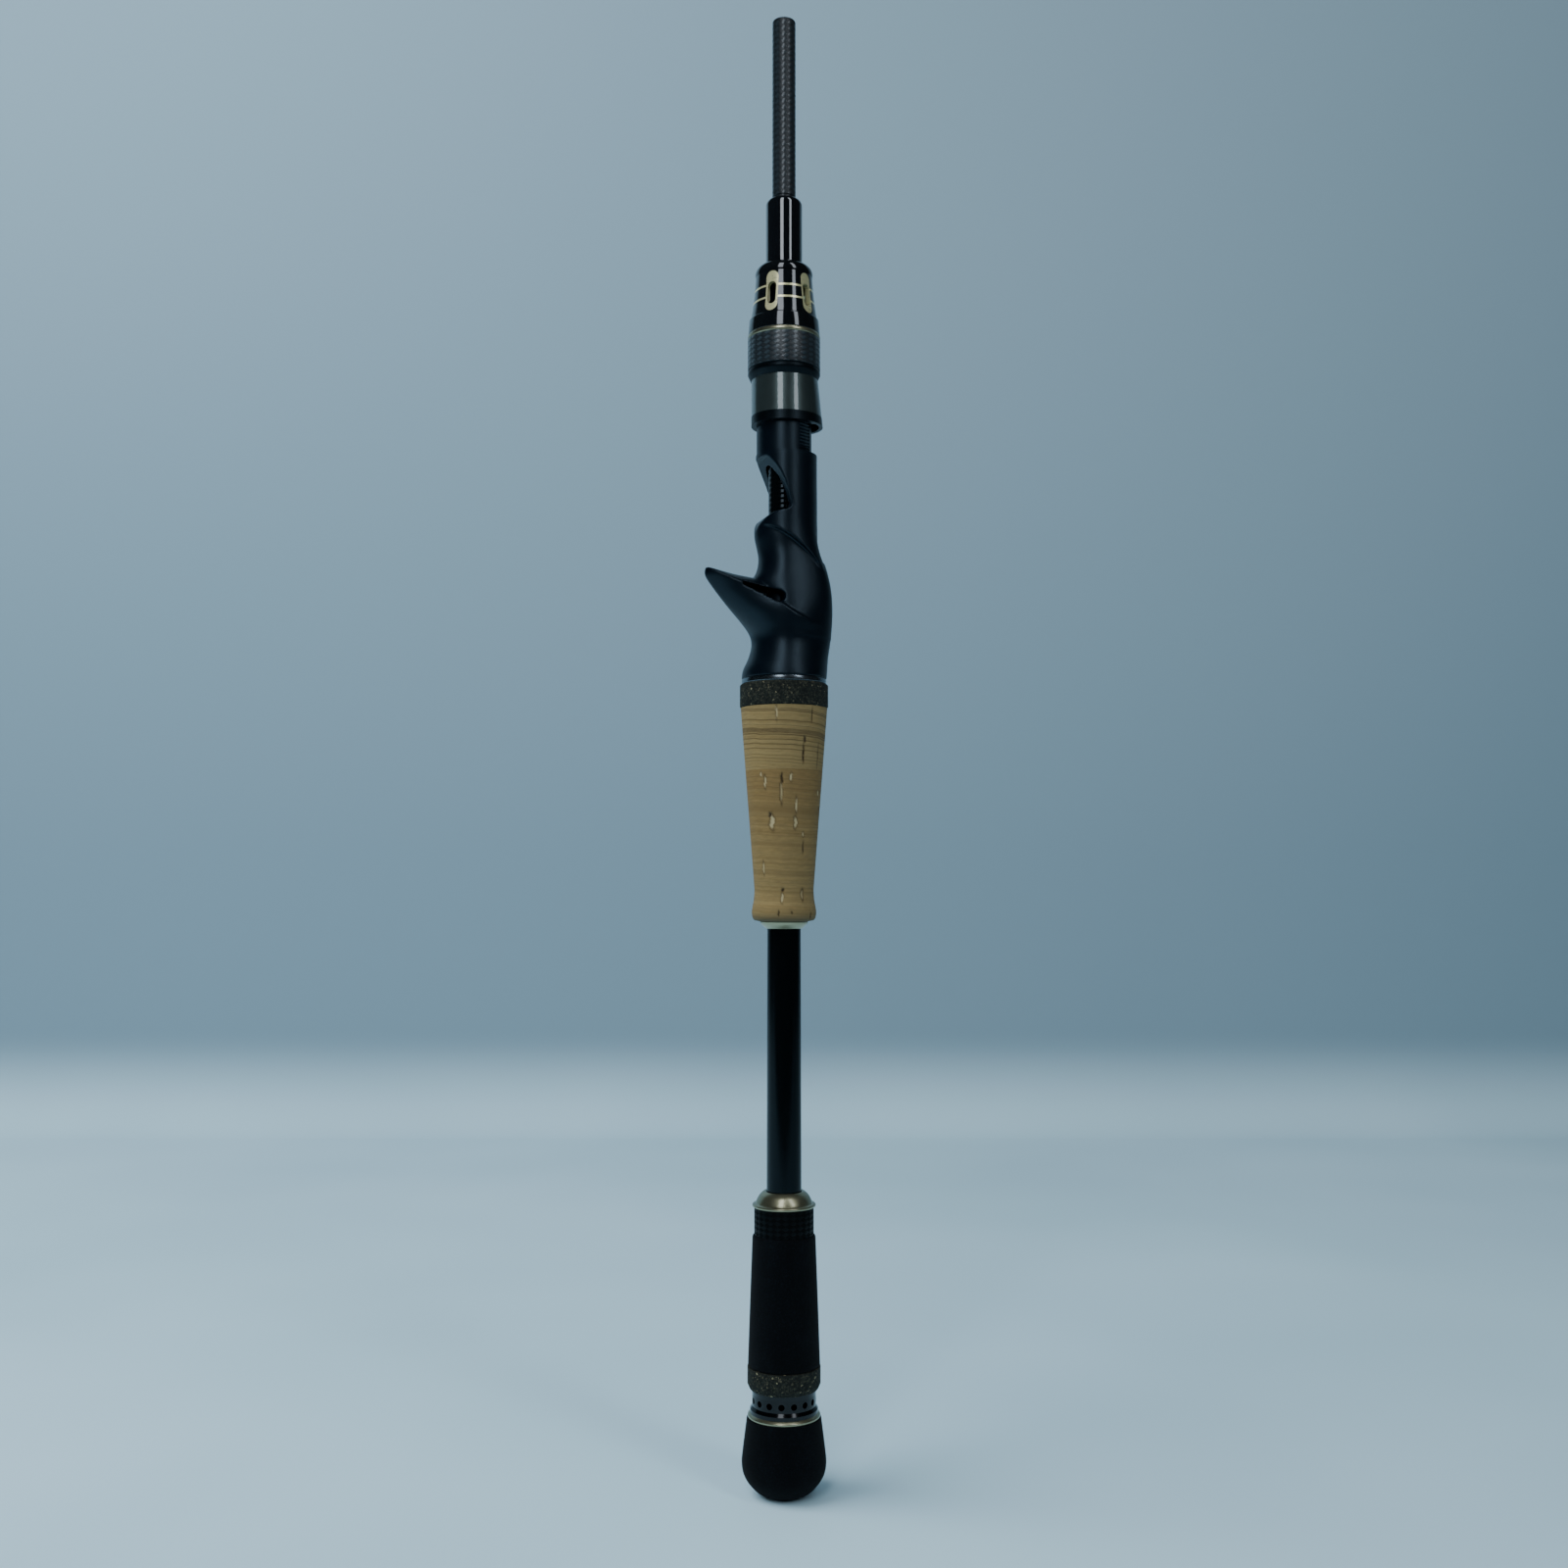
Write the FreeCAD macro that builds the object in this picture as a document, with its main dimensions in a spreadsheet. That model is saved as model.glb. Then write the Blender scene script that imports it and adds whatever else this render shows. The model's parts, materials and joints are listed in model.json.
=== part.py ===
import FreeCAD
import Part
import Sketcher
import math
import os
from collections import namedtuple

# Butt section of a two-piece casting rod, with its skeleton reel seat.
# Millimetres.  +Z runs up the rod from the butt to the ferrule, the origin is the centre of
# the butt's flat end, the reel sits on the +X side and the trigger points to -X.

SIZES = {
    # Blank: one tapered tube that runs through the whole handle
    "blank_foot": 6.0,
    "blank_radius": 5.34,
    "blank_taper": 0.00235,
    "blank_wall": 1.2,
    "blank_above_shell": 18.0,
    "glue_gap": 0.04,
    # Ferrule: the male spigot that the tip section slides over
    "spigot_radius": 3.53,
    "spigot_land_relief": 0.25,
    "spigot_bore": 2.2,
    "spigot_reach": 56.0,
    "spigot_depth": 42.0,
    "plug_length": 7.0,
    # Butt cap and the rings above it
    "cap_length": 22.2,
    "cap_flat_radius": 5.0,
    "cap_widest_radius": 12.3,
    "cap_widest_height": 9.3,
    "cap_top_radius": 10.8,
    "butt_gold_length": 1.4,
    "butt_gold_radius": 10.6,
    "spacer_length": 6.7,
    "spacer_flange_radius": 9.9,
    "spacer_waist_radius": 9.3,
    "spacer_hole_radius": 0.9,
    "spacer_wall": 1.4,
    "butt_cork_length": 6.4,
    "butt_cork_radius": 10.65,
    "butt_cork_chamfer": 1.5,
    # Rear grip
    "rear_grip_length": 37.5,
    "rear_grip_low_radius": 10.5,
    "rear_grip_high_radius": 9.2,
    "foam_round": 0.8,
    "rear_carbon_length": 8.0,
    "rear_carbon_radius": 8.7,
    "rear_check_length": 4.5,
    "rear_check_radius": 9.3,
    "check_lip": 0.9,
    "bare_length": 76.5,
    # Cork grip
    "front_check_length": 2.1,
    "front_check_radius": 7.1,
    "cork_ring_length": 12.64,
    "cork_bulge_radius": 9.55,
    "cork_neck_radius": 8.75,
    "cork_end_radius": 12.9,
    "cork_bulge_height": 2.6,
    "cork_neck_height": 9.3,
    "trim_length": 7.1,
    "trim_radius": 13.15,
    "trim_chamfer": 0.5,
    "end_ring_length": 1.6,
    "end_ring_radius": 12.6,
    # Reel seat
    "seat_length": 67.6,
    "seat_bore": 5.35,
    "seat_foot_radius": 12.7,
    "deck_height": 10.0,
    "barrel_radius": 8.25,
    "barrel_length": 33.7,
    "trigger_reach": 25.2,
    "finger_radius": 7.7,
    "palm_height": 14.7,
    "foot_width": 11.6,
    "arbor_length": 20.0,
    "thread_pitch": 1.0,
    "thread_depth": 0.35,
    "keyway_width": 3.0,
    "keyway_depth": 0.9,
    # Sliding hood
    "hood_gap": 9.0,
    "hood_length": 13.8,
    "hood_rim": 2.7,
    "hood_radius": 9.87,
    "hood_reel_side": 11.9,
    "hood_reel_side_top": 10.4,
    "band_wall": 0.6,
    "running_gap": 0.08,
    "key_gap": 0.1,
    # Lock nut and foregrip
    "thrust_length": 3.3,
    "thrust_low_radius": 10.1,
    "nut_radius": 10.9,
    "nut_core_radius": 9.6,
    "nut_carbon_length": 9.3,
    "nut_gold_length": 1.3,
    "collar_length": 4.7,
    "shell_length": 16.5,
    "shell_low_radius": 10.1,
    "shell_high_radius": 8.57,
    "shell_wall": 1.5,
    "shell_mouth_gap": 0.4,
    "window_height": 12.6,
    "window_width": 4.0,
    "window_rim": 0.65,
    "window_sight": 7.0,
    "window_turn": 30.0,  # degrees round +Z from -Y to the middle of one window
    "stripe_width": 0.65,
    "stripe_depth": 0.25,
    # Thread wrap over the blank's upper end
    "wrap_radius": 5.55,
    "wrap_reach": 21.0,
    "wrap_nose": 2.2,
}
CORK_RINGS = 5
SPACER_HOLES = 16
WINDOWS = 5

doc = FreeCAD.newDocument("casting_rod_handle")
sheet = doc.addObject("Spreadsheet::Sheet", "Sizes")
for row, (alias, value) in enumerate(SIZES.items(), start=1):
    sheet.set(f"A{row}", alias)
    sheet.set(f"B{row}", str(value))
    sheet.setAlias(f"B{row}", alias)
doc.recompute()


class Size:
    """A length that knows its value and the sheet expression that gives it."""

    def __init__(self, value, text):
        self.value = value
        self.text = text

    def _join(self, other, sign, value):
        return Size(value, f"({self.text} {sign} {as_size(other).text})")

    def __add__(self, other):
        return self._join(other, "+", self.value + as_size(other).value)

    def __radd__(self, other):
        return as_size(other) + self

    def __sub__(self, other):
        return self._join(other, "-", self.value - as_size(other).value)

    def __rsub__(self, other):
        return as_size(other) - self

    def __mul__(self, other):
        return self._join(other, "*", self.value * as_size(other).value)

    def __rmul__(self, other):
        return as_size(other) * self

    def __truediv__(self, other):
        return self._join(other, "/", self.value / as_size(other).value)


def as_size(number):
    return number if isinstance(number, Size) else Size(float(number), f"{float(number):g}")


class SheetSizes:
    """Reads each alias of the sheet as a Size: S.blank_radius."""

    def __getattr__(self, alias):
        return Size(float(sheet.get(alias)), f"Sizes.{alias}")


S = SheetSizes()
ZERO = as_size(0)
Bulge = namedtuple("Bulge", "via end")
kept = {}


# ---------------------------------------------------------------- helpers

def origin_feature(body, role):
    return next(item for item in body.Origin.OriginFeatures if item.Role == role)


def new_body(label):
    body = doc.addObject("PartDesign::Body", label)
    body.Label = label
    return body


def pin(sketch, geo, pos, point):
    """Ties one end of a segment to the sheet, by its distance from both axes."""
    for kind, axis, size in (("DistanceX", -2, point[0]), ("DistanceY", -1, point[1])):
        if size.value == 0.0 and size.text == ZERO.text:
            sketch.addConstraint(Sketcher.Constraint("PointOnObject", geo, pos, axis))
            continue
        index = sketch.addConstraint(Sketcher.Constraint(kind, -1, 1, geo, pos, size.value))
        name = f"{kind[-1].lower()}{index}"
        sketch.renameConstraint(index, name)
        sketch.setExpression(f"Constraints.{name}", size.text)


def flat(point):
    return FreeCAD.Vector(point[0].value, point[1].value, 0)


def draw_outline(sketch, points):
    """Draws a closed outline; a Bulge is an arc through its via point."""
    start = tuple(map(as_size, points[0]))
    here = start
    ends = []
    for item in list(points[1:]) + [start]:
        if isinstance(item, Bulge):
            via = tuple(map(as_size, item.via))
            there = tuple(map(as_size, item.end))
            geo = sketch.addGeometry(Part.Arc(flat(here), flat(via), flat(there)))
            turn = (flat(via) - flat(here)).cross(flat(there) - flat(here)).z
            ends.append((geo, 1, 2) if turn > 0 else (geo, 2, 1))
            mark = sketch.addGeometry(Part.Point(flat(via)), True)
            pin(sketch, mark, 1, via)
            sketch.addConstraint(Sketcher.Constraint("PointOnObject", mark, 1, geo))
        else:
            there = tuple(map(as_size, item))
            ends.append((sketch.addGeometry(Part.LineSegment(flat(here), flat(there))), 1, 2))
        pin(sketch, ends[-1][0], ends[-1][1], here)
        here = there
    for (geo, _, tail), (following, head, _) in zip(ends, ends[1:] + ends[:1]):
        sketch.addConstraint(Sketcher.Constraint("Coincident", geo, tail, following, head))


def body_sketch(body, name, role, points):
    sketch = body.newObject("Sketcher::SketchObject", f"{body.Name}_{name}")
    sketch.AttachmentSupport = [(origin_feature(body, role), "")]
    sketch.MapMode = "FlatFace"
    draw_outline(sketch, points)
    return sketch


def turned(label, station, points, keep=True):
    """A turned piece: its outline, in radius and local height, spun about the rod's axis."""
    body = new_body(label)
    sketch = body_sketch(body, "outline", "XZ_Plane", points)
    spin = body.newObject("PartDesign::Revolution", f"{label}_turning")
    spin.Profile = sketch
    spin.ReferenceAxis = (sketch, ["V_Axis"])
    spin.Angle = 360
    body.setExpression("Placement.Base.z", as_size(station).text)
    if keep:
        kept[label] = body
    return body


def blank_radius_at(height):
    return S.blank_radius - S.blank_taper * (height - S.blank_foot)


def bore_at(height):
    """Radius of a bore that is glued over the blank at this height."""
    return blank_radius_at(height) + S.glue_gap


def sculpted(label, shape):
    feature = doc.addObject("Part::Feature", label)
    feature.Label = label
    feature.Shape = shape
    kept[label] = feature
    return feature


# ---------------------------------------------------------------- stations up the rod

butt_gold_at = S.cap_length
spacer_at = butt_gold_at + S.butt_gold_length
butt_cork_at = spacer_at + S.spacer_length
rear_grip_at = butt_cork_at + S.butt_cork_length
rear_carbon_at = rear_grip_at + S.rear_grip_length
rear_check_at = rear_carbon_at + S.rear_carbon_length
front_check_at = rear_check_at + S.rear_check_length + S.bare_length
cork_at = front_check_at + S.front_check_length
trim_at = cork_at + S.cork_ring_length * CORK_RINGS
end_ring_at = trim_at + S.trim_length
seat_at = end_ring_at + S.end_ring_length
barrel_at = seat_at + S.seat_length
hood_at = barrel_at + S.hood_gap
thrust_at = hood_at + S.hood_length
nut_carbon_at = thrust_at + S.thrust_length
nut_gold_at = nut_carbon_at + S.nut_carbon_length
collar_at = nut_gold_at + S.nut_gold_length
shell_at = collar_at + S.collar_length
shell_top = shell_at + S.shell_length
wrap_top = shell_top + S.wrap_reach
blank_top = shell_top + S.blank_above_shell
spigot_foot = blank_top - S.spigot_depth
spigot_top = wrap_top + S.spigot_reach
wrap_foot = barrel_at + S.barrel_length + 2.0
thread_bore = S.barrel_radius + S.running_gap
land_radius = S.spigot_radius - S.spigot_land_relief


# ---------------------------------------------------------------- blank and ferrule

def rod_blank():
    length = blank_top - S.blank_foot
    socket = land_radius + S.glue_gap
    turned("rod_blank", S.blank_foot, [
        (S.blank_radius - S.blank_wall, 0),
        (S.blank_radius, 0),
        (blank_radius_at(blank_top), length),
        (socket, length),
        (socket, length - S.spigot_depth),
    ])


def ferrule_spigot():
    length = spigot_top - spigot_foot
    land = wrap_top - spigot_foot + 1.0
    edge = 0.5
    turned("ferrule_spigot", spigot_foot, [
        (S.spigot_bore, 0),
        (land_radius, 0),
        (land_radius, land - 0.25),
        (S.spigot_radius, land),
        (S.spigot_radius, length - edge),
        Bulge((S.spigot_radius - 0.15, length - 0.15), (S.spigot_radius - edge, length)),
        (S.spigot_bore, length),
    ])


def spigot_plug():
    radius = S.spigot_bore - S.glue_gap
    turned("spigot_plug", spigot_top - S.plug_length, [
        (0, 0),
        (radius, 0),
        (radius, S.plug_length - 0.3),
        (0, S.plug_length - 0.3),
    ])


def butt_plug():
    radius = S.blank_radius - S.blank_wall - S.glue_gap * 2.5
    turned("butt_plug", S.blank_foot, [
        (0, 0),
        (radius, 0),
        (radius, S.plug_length),
        (0, S.plug_length),
    ])


# ---------------------------------------------------------------- rear handle

def butt_cap():
    bore = bore_at(S.blank_foot)
    seat_height = S.blank_foot - S.glue_gap
    turned("butt_cap", ZERO, [
        (0, 0),
        (S.cap_flat_radius, 0),
        Bulge((S.cap_widest_radius * 0.835, S.cap_widest_height * 0.4),
              (S.cap_widest_radius, S.cap_widest_height)),
        (S.cap_top_radius, S.cap_length),
        (bore, S.cap_length),
        (bore, seat_height),
        (0, seat_height),
    ])


def butt_gold_ring():
    edge = 0.35
    bore = bore_at(butt_gold_at)
    turned("butt_gold_ring", butt_gold_at, [
        (bore, 0),
        (S.butt_gold_radius - edge, 0),
        Bulge((S.butt_gold_radius, edge), (S.butt_gold_radius, edge * 2)),
        (S.spacer_flange_radius, S.butt_gold_length),
        (bore, S.butt_gold_length),
    ])


def butt_spacer_ring():
    """Waisted ring with a row of lightening holes."""
    bore = bore_at(spacer_at)
    flange = S.spacer_length * 0.16
    waist_low = S.spacer_length * 0.3
    waist_high = S.spacer_length * 0.8
    body = turned("butt_spacer_ring", spacer_at, [
        (S.spacer_waist_radius - S.spacer_wall, flange),
        (bore, flange),
        (bore, 0),
        (S.spacer_flange_radius, 0),
        (S.spacer_flange_radius, flange),
        (S.spacer_waist_radius, waist_low),
        (S.spacer_waist_radius, waist_high),
        (S.spacer_waist_radius + 0.25, S.spacer_length),
        (bore, S.spacer_length),
        (bore, waist_high + 0.2),
        (S.spacer_waist_radius - S.spacer_wall, waist_high + 0.2),
    ])
    sketch = body.newObject("Sketcher::SketchObject", "spacer_hole")
    sketch.AttachmentSupport = [(origin_feature(body, "YZ_Plane"), "")]
    sketch.MapMode = "FlatFace"
    middle = (waist_low + waist_high) / 2
    centre = FreeCAD.Vector(0, middle.value, 0)
    sketch.addGeometry(Part.Circle(centre, FreeCAD.Vector(0, 0, 1), S.spacer_hole_radius.value))
    sketch.addConstraint(Sketcher.Constraint("PointOnObject", 0, 3, -2))
    height = sketch.addConstraint(Sketcher.Constraint("DistanceY", -1, 1, 0, 3, middle.value))
    sketch.setExpression(f"Constraints[{height}]", middle.text)
    radius = sketch.addConstraint(Sketcher.Constraint("Radius", 0, S.spacer_hole_radius.value))
    sketch.setExpression(f"Constraints[{radius}]", S.spacer_hole_radius.text)
    doc.recompute()
    pocket = body.newObject("PartDesign::Pocket", "spacer_hole_cut")
    pocket.Profile = sketch
    pocket.Reversed = True
    pocket.Length = S.spacer_flange_radius.value
    pocket.setExpression("Length", S.spacer_flange_radius.text)
    doc.recompute()
    pattern = body.newObject("PartDesign::PolarPattern", "spacer_hole_row")
    pattern.Originals = [pocket]
    pattern.Axis = (origin_feature(body, "Z_Axis"), [""])
    pattern.Angle = 360
    pattern.Occurrences = SPACER_HOLES
    body.Tip = pattern
    doc.recompute()


def butt_cork_ring():
    bore = bore_at(butt_cork_at)
    turned("butt_cork_ring", butt_cork_at, [
        (bore, 0),
        (S.butt_cork_radius - S.butt_cork_chamfer * 0.45, 0),
        (S.butt_cork_radius, S.butt_cork_chamfer),
        (S.butt_cork_radius, S.butt_cork_length),
        (bore, S.butt_cork_length),
    ])


def rear_grip():
    edge = S.foam_round
    low = S.rear_grip_low_radius
    high = S.rear_grip_high_radius
    bore = bore_at(rear_grip_at)
    turned("rear_grip", rear_grip_at, [
        (bore, 0),
        (low - edge, 0),
        Bulge((low - edge * 0.3, edge * 0.3), (low, edge)),
        (high, S.rear_grip_length - edge),
        Bulge((high - edge * 0.3, S.rear_grip_length - edge * 0.3), (high - edge, S.rear_grip_length)),
        (bore, S.rear_grip_length),
    ])


def rear_carbon_ring():
    bore = bore_at(rear_carbon_at)
    turned("rear_carbon_ring", rear_carbon_at, [
        (bore, 0),
        (S.rear_carbon_radius, 0),
        (S.rear_carbon_radius, S.rear_carbon_length),
        (bore, S.rear_carbon_length),
    ])


def rear_check():
    """Dished winding check: a rounded lip, then a hollow cone down to the blank."""
    bore = bore_at(rear_check_at)
    collar = bore + 0.6
    lip = S.check_lip
    turned("rear_check", rear_check_at, [
        (bore, 0),
        (S.rear_check_radius - 0.3, 0),
        Bulge((S.rear_check_radius, lip * 0.5), (S.rear_check_radius - 0.3, lip)),
        Bulge((collar + 1.95, S.rear_check_length * 0.62), (collar, S.rear_check_length)),
        (bore, S.rear_check_length),
    ])


# ---------------------------------------------------------------- cork grip

def front_check():
    bore = bore_at(front_check_at)
    turned("front_check", front_check_at, [
        (bore, 0),
        (bore + 0.35, 0),
        Bulge((bore + 1.25, S.front_check_length * 0.42), (S.front_check_radius, S.front_check_length)),
        (bore, S.front_check_length),
    ])


def cork_radius_at(height):
    """Radius of the straight part of the cork grip, from its neck to the seat end."""
    run = S.cork_ring_length * CORK_RINGS - S.cork_neck_height
    slope = (S.cork_end_radius - S.cork_neck_radius) / run
    return S.cork_neck_radius + slope * (height - S.cork_neck_height)


def cork_rings():
    for index in range(CORK_RINGS):
        low = S.cork_ring_length * index
        high = S.cork_ring_length * (index + 1)
        bore = bore_at(cork_at + low)
        top = (cork_radius_at(high), S.cork_ring_length)
        if index == 0:
            crown = S.cork_bulge_radius
            side = [
                (S.front_check_radius, 0),
                Bulge((crown - 0.62, S.cork_bulge_height * 0.3), (crown, S.cork_bulge_height)),
                Bulge((S.cork_neck_radius + 0.26, S.cork_bulge_height * 2.1),
                      (S.cork_neck_radius, S.cork_neck_height)),
                top,
            ]
        else:
            side = [(cork_radius_at(low), 0), top]
        turned(f"cork_ring_{index + 1}", cork_at + low, [(bore, 0), *side, (bore, S.cork_ring_length)])


def grip_trim_ring():
    bore = bore_at(trim_at)
    edge = S.trim_chamfer
    turned("grip_trim_ring", trim_at, [
        (bore, 0),
        (S.trim_radius - edge, 0),
        (S.trim_radius, edge),
        (S.trim_radius, S.trim_length - edge),
        (S.trim_radius - edge, S.trim_length),
        (bore, S.trim_length),
    ])


def seat_end_ring():
    bore = bore_at(end_ring_at)
    edge = 0.25
    turned("seat_end_ring", end_ring_at, [
        (bore, 0),
        (S.end_ring_radius - edge, 0),
        (S.end_ring_radius, edge),
        (S.end_ring_radius, S.end_ring_length - edge),
        (S.end_ring_radius - edge, S.end_ring_length),
        (bore, S.end_ring_length),
    ])


# ---------------------------------------------------------------- reel seat

def vector(x, y, z):
    return FreeCAD.Vector(x, y, z)


def curve_wire(points, closed=False):
    spline = Part.BSplineCurve()
    spline.interpolate(Points=points, PeriodicFlag=closed)
    return Part.Wire([spline.toShape()])


def egg_section(trigger_side, reel_side, half_width, height, trigger_taper=2.0, reel_taper=2.0):
    """Closed section: a taper under 2 narrows a side to a rounded point, over 2 squares it."""
    points = []
    count = 24
    for index in range(count):
        angle = 2 * math.pi * index / count
        along = math.cos(angle)
        across = math.sin(angle)
        reach, taper = (reel_side, reel_taper) if along >= 0 else (trigger_side, trigger_taper)
        x = math.copysign(reach * abs(along) ** (2 / taper), along)
        y = math.copysign(half_width * abs(across) ** (2 / taper), across)
        points.append(vector(x, y, height))
    return curve_wire(points, closed=True)


def eased(stations, height):
    """Section sizes at a height: a smooth curve through the stations, which list height last."""
    index = max(i for i, station in enumerate(stations[:-1]) if station[-1] <= height + 1e-6)
    low, high = stations[index], stations[index + 1]
    before = stations[max(index - 1, 0)]
    after = stations[min(index + 2, len(stations) - 1)]
    span = high[-1] - low[-1]
    share = (height - low[-1]) / span
    sizes = []
    for i in range(len(low) - 1):
        slope_low = (high[i] - before[i]) / (high[-1] - before[-1]) * span
        slope_high = (after[i] - low[i]) / (after[-1] - low[-1]) * span
        leave = (2 * share ** 3 - 3 * share ** 2 + 1) * low[i]
        leave += (share ** 3 - 2 * share ** 2 + share) * slope_low
        arrive = (3 * share ** 2 - 2 * share ** 3) * high[i] + (share ** 3 - share ** 2) * slope_high
        sizes.append(leave + arrive)
    return sizes


def loft(stations, step=2.6):
    """Smooth form through stations of (trigger side, reel side, half width, tapers, height)."""
    foot = stations[0][-1]
    top = stations[-1][-1]
    count = math.ceil((top - foot) / step)
    wires = []
    for index in range(count + 1):
        height = foot + (top - foot) * index / count
        trigger_side, reel_side, half_width, trigger_taper, reel_taper = eased(stations, height)
        wires.append(egg_section(trigger_side, reel_side, half_width, height, trigger_taper, reel_taper))
    return Part.makeLoft(wires, True, False)


def side_prism(points, half_depth=20.0):
    """Prism across the seat from a side outline in X and Z; a Bulge is an arc."""
    edges = []
    here = points[0]
    for item in points[1:] + points[:1]:
        if isinstance(item, Bulge):
            ends = [vector(here[0], 0, here[1]), vector(*item.via[:1], 0, *item.via[1:]),
                    vector(item.end[0], 0, item.end[1])]
            edges.append(Part.Arc(*ends).toShape())
            here = item.end
        else:
            edges.append(Part.LineSegment(vector(here[0], 0, here[1]),
                                          vector(item[0], 0, item[1])).toShape())
            here = item
    face = Part.Face(Part.Wire(edges))
    face.translate(vector(0, -half_depth, 0))
    return face.extrude(vector(0, 2 * half_depth, 0))


def saddle_block(foot, stations):
    """Solid below a saddle: at each X its top is an arch that falls to both sides."""
    reach = 15.0
    sections = []
    for x, crest, rim, rim_half_width in stations:
        fall = (crest - rim) / rim_half_width ** 2
        arch = [vector(x, y, crest - fall * y * y) for y in (-reach, -reach / 2, 0, reach / 2, reach)]
        spline = Part.BSplineCurve()
        spline.interpolate(Points=arch)
        sections.append(Part.Wire([
            spline.toShape(),
            Part.LineSegment(arch[-1], vector(x, reach, foot)).toShape(),
            Part.LineSegment(vector(x, reach, foot), vector(x, -reach, foot)).toShape(),
            Part.LineSegment(vector(x, -reach, foot), arch[0]).toShape(),
        ]))
    return Part.makeLoft(sections, True, False)


def thread_grooves(foot, top, radius, depth, pitch, middle_angle, spread):
    """V grooves round one sector of the barrel, pitch apart."""
    points = [vector(radius + 1, 0, foot)]
    count = int((top - foot) / pitch)
    for index in range(count):
        low = foot + index * pitch
        points.append(vector(radius + 0.01, 0, low + pitch * 0.1))
        points.append(vector(radius - depth, 0, low + pitch * 0.5))
        points.append(vector(radius + 0.01, 0, low + pitch * 0.9))
    points.append(vector(radius + 1, 0, foot + count * pitch))
    face = Part.Face(Part.makePolygon(points + points[:1]))
    start = math.radians(middle_angle - spread / 2)
    face.rotate(vector(0, 0, 0), vector(0, 0, 1), math.degrees(start))
    return face.revolve(vector(0, 0, 0), vector(0, 0, 1), spread)


def curved_slot(floor_radius, outer):
    """The part of a round tool that lies over the reel side, as wide as a reel's foot."""
    floor = Part.makeCylinder(floor_radius, 200, vector(0, 0, seat_at.value))
    width = S.foot_width.value
    lane = Part.makeBox(40, width, 200, vector(0, -width / 2, seat_at.value))
    return outer.cut(floor).common(lane)


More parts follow.
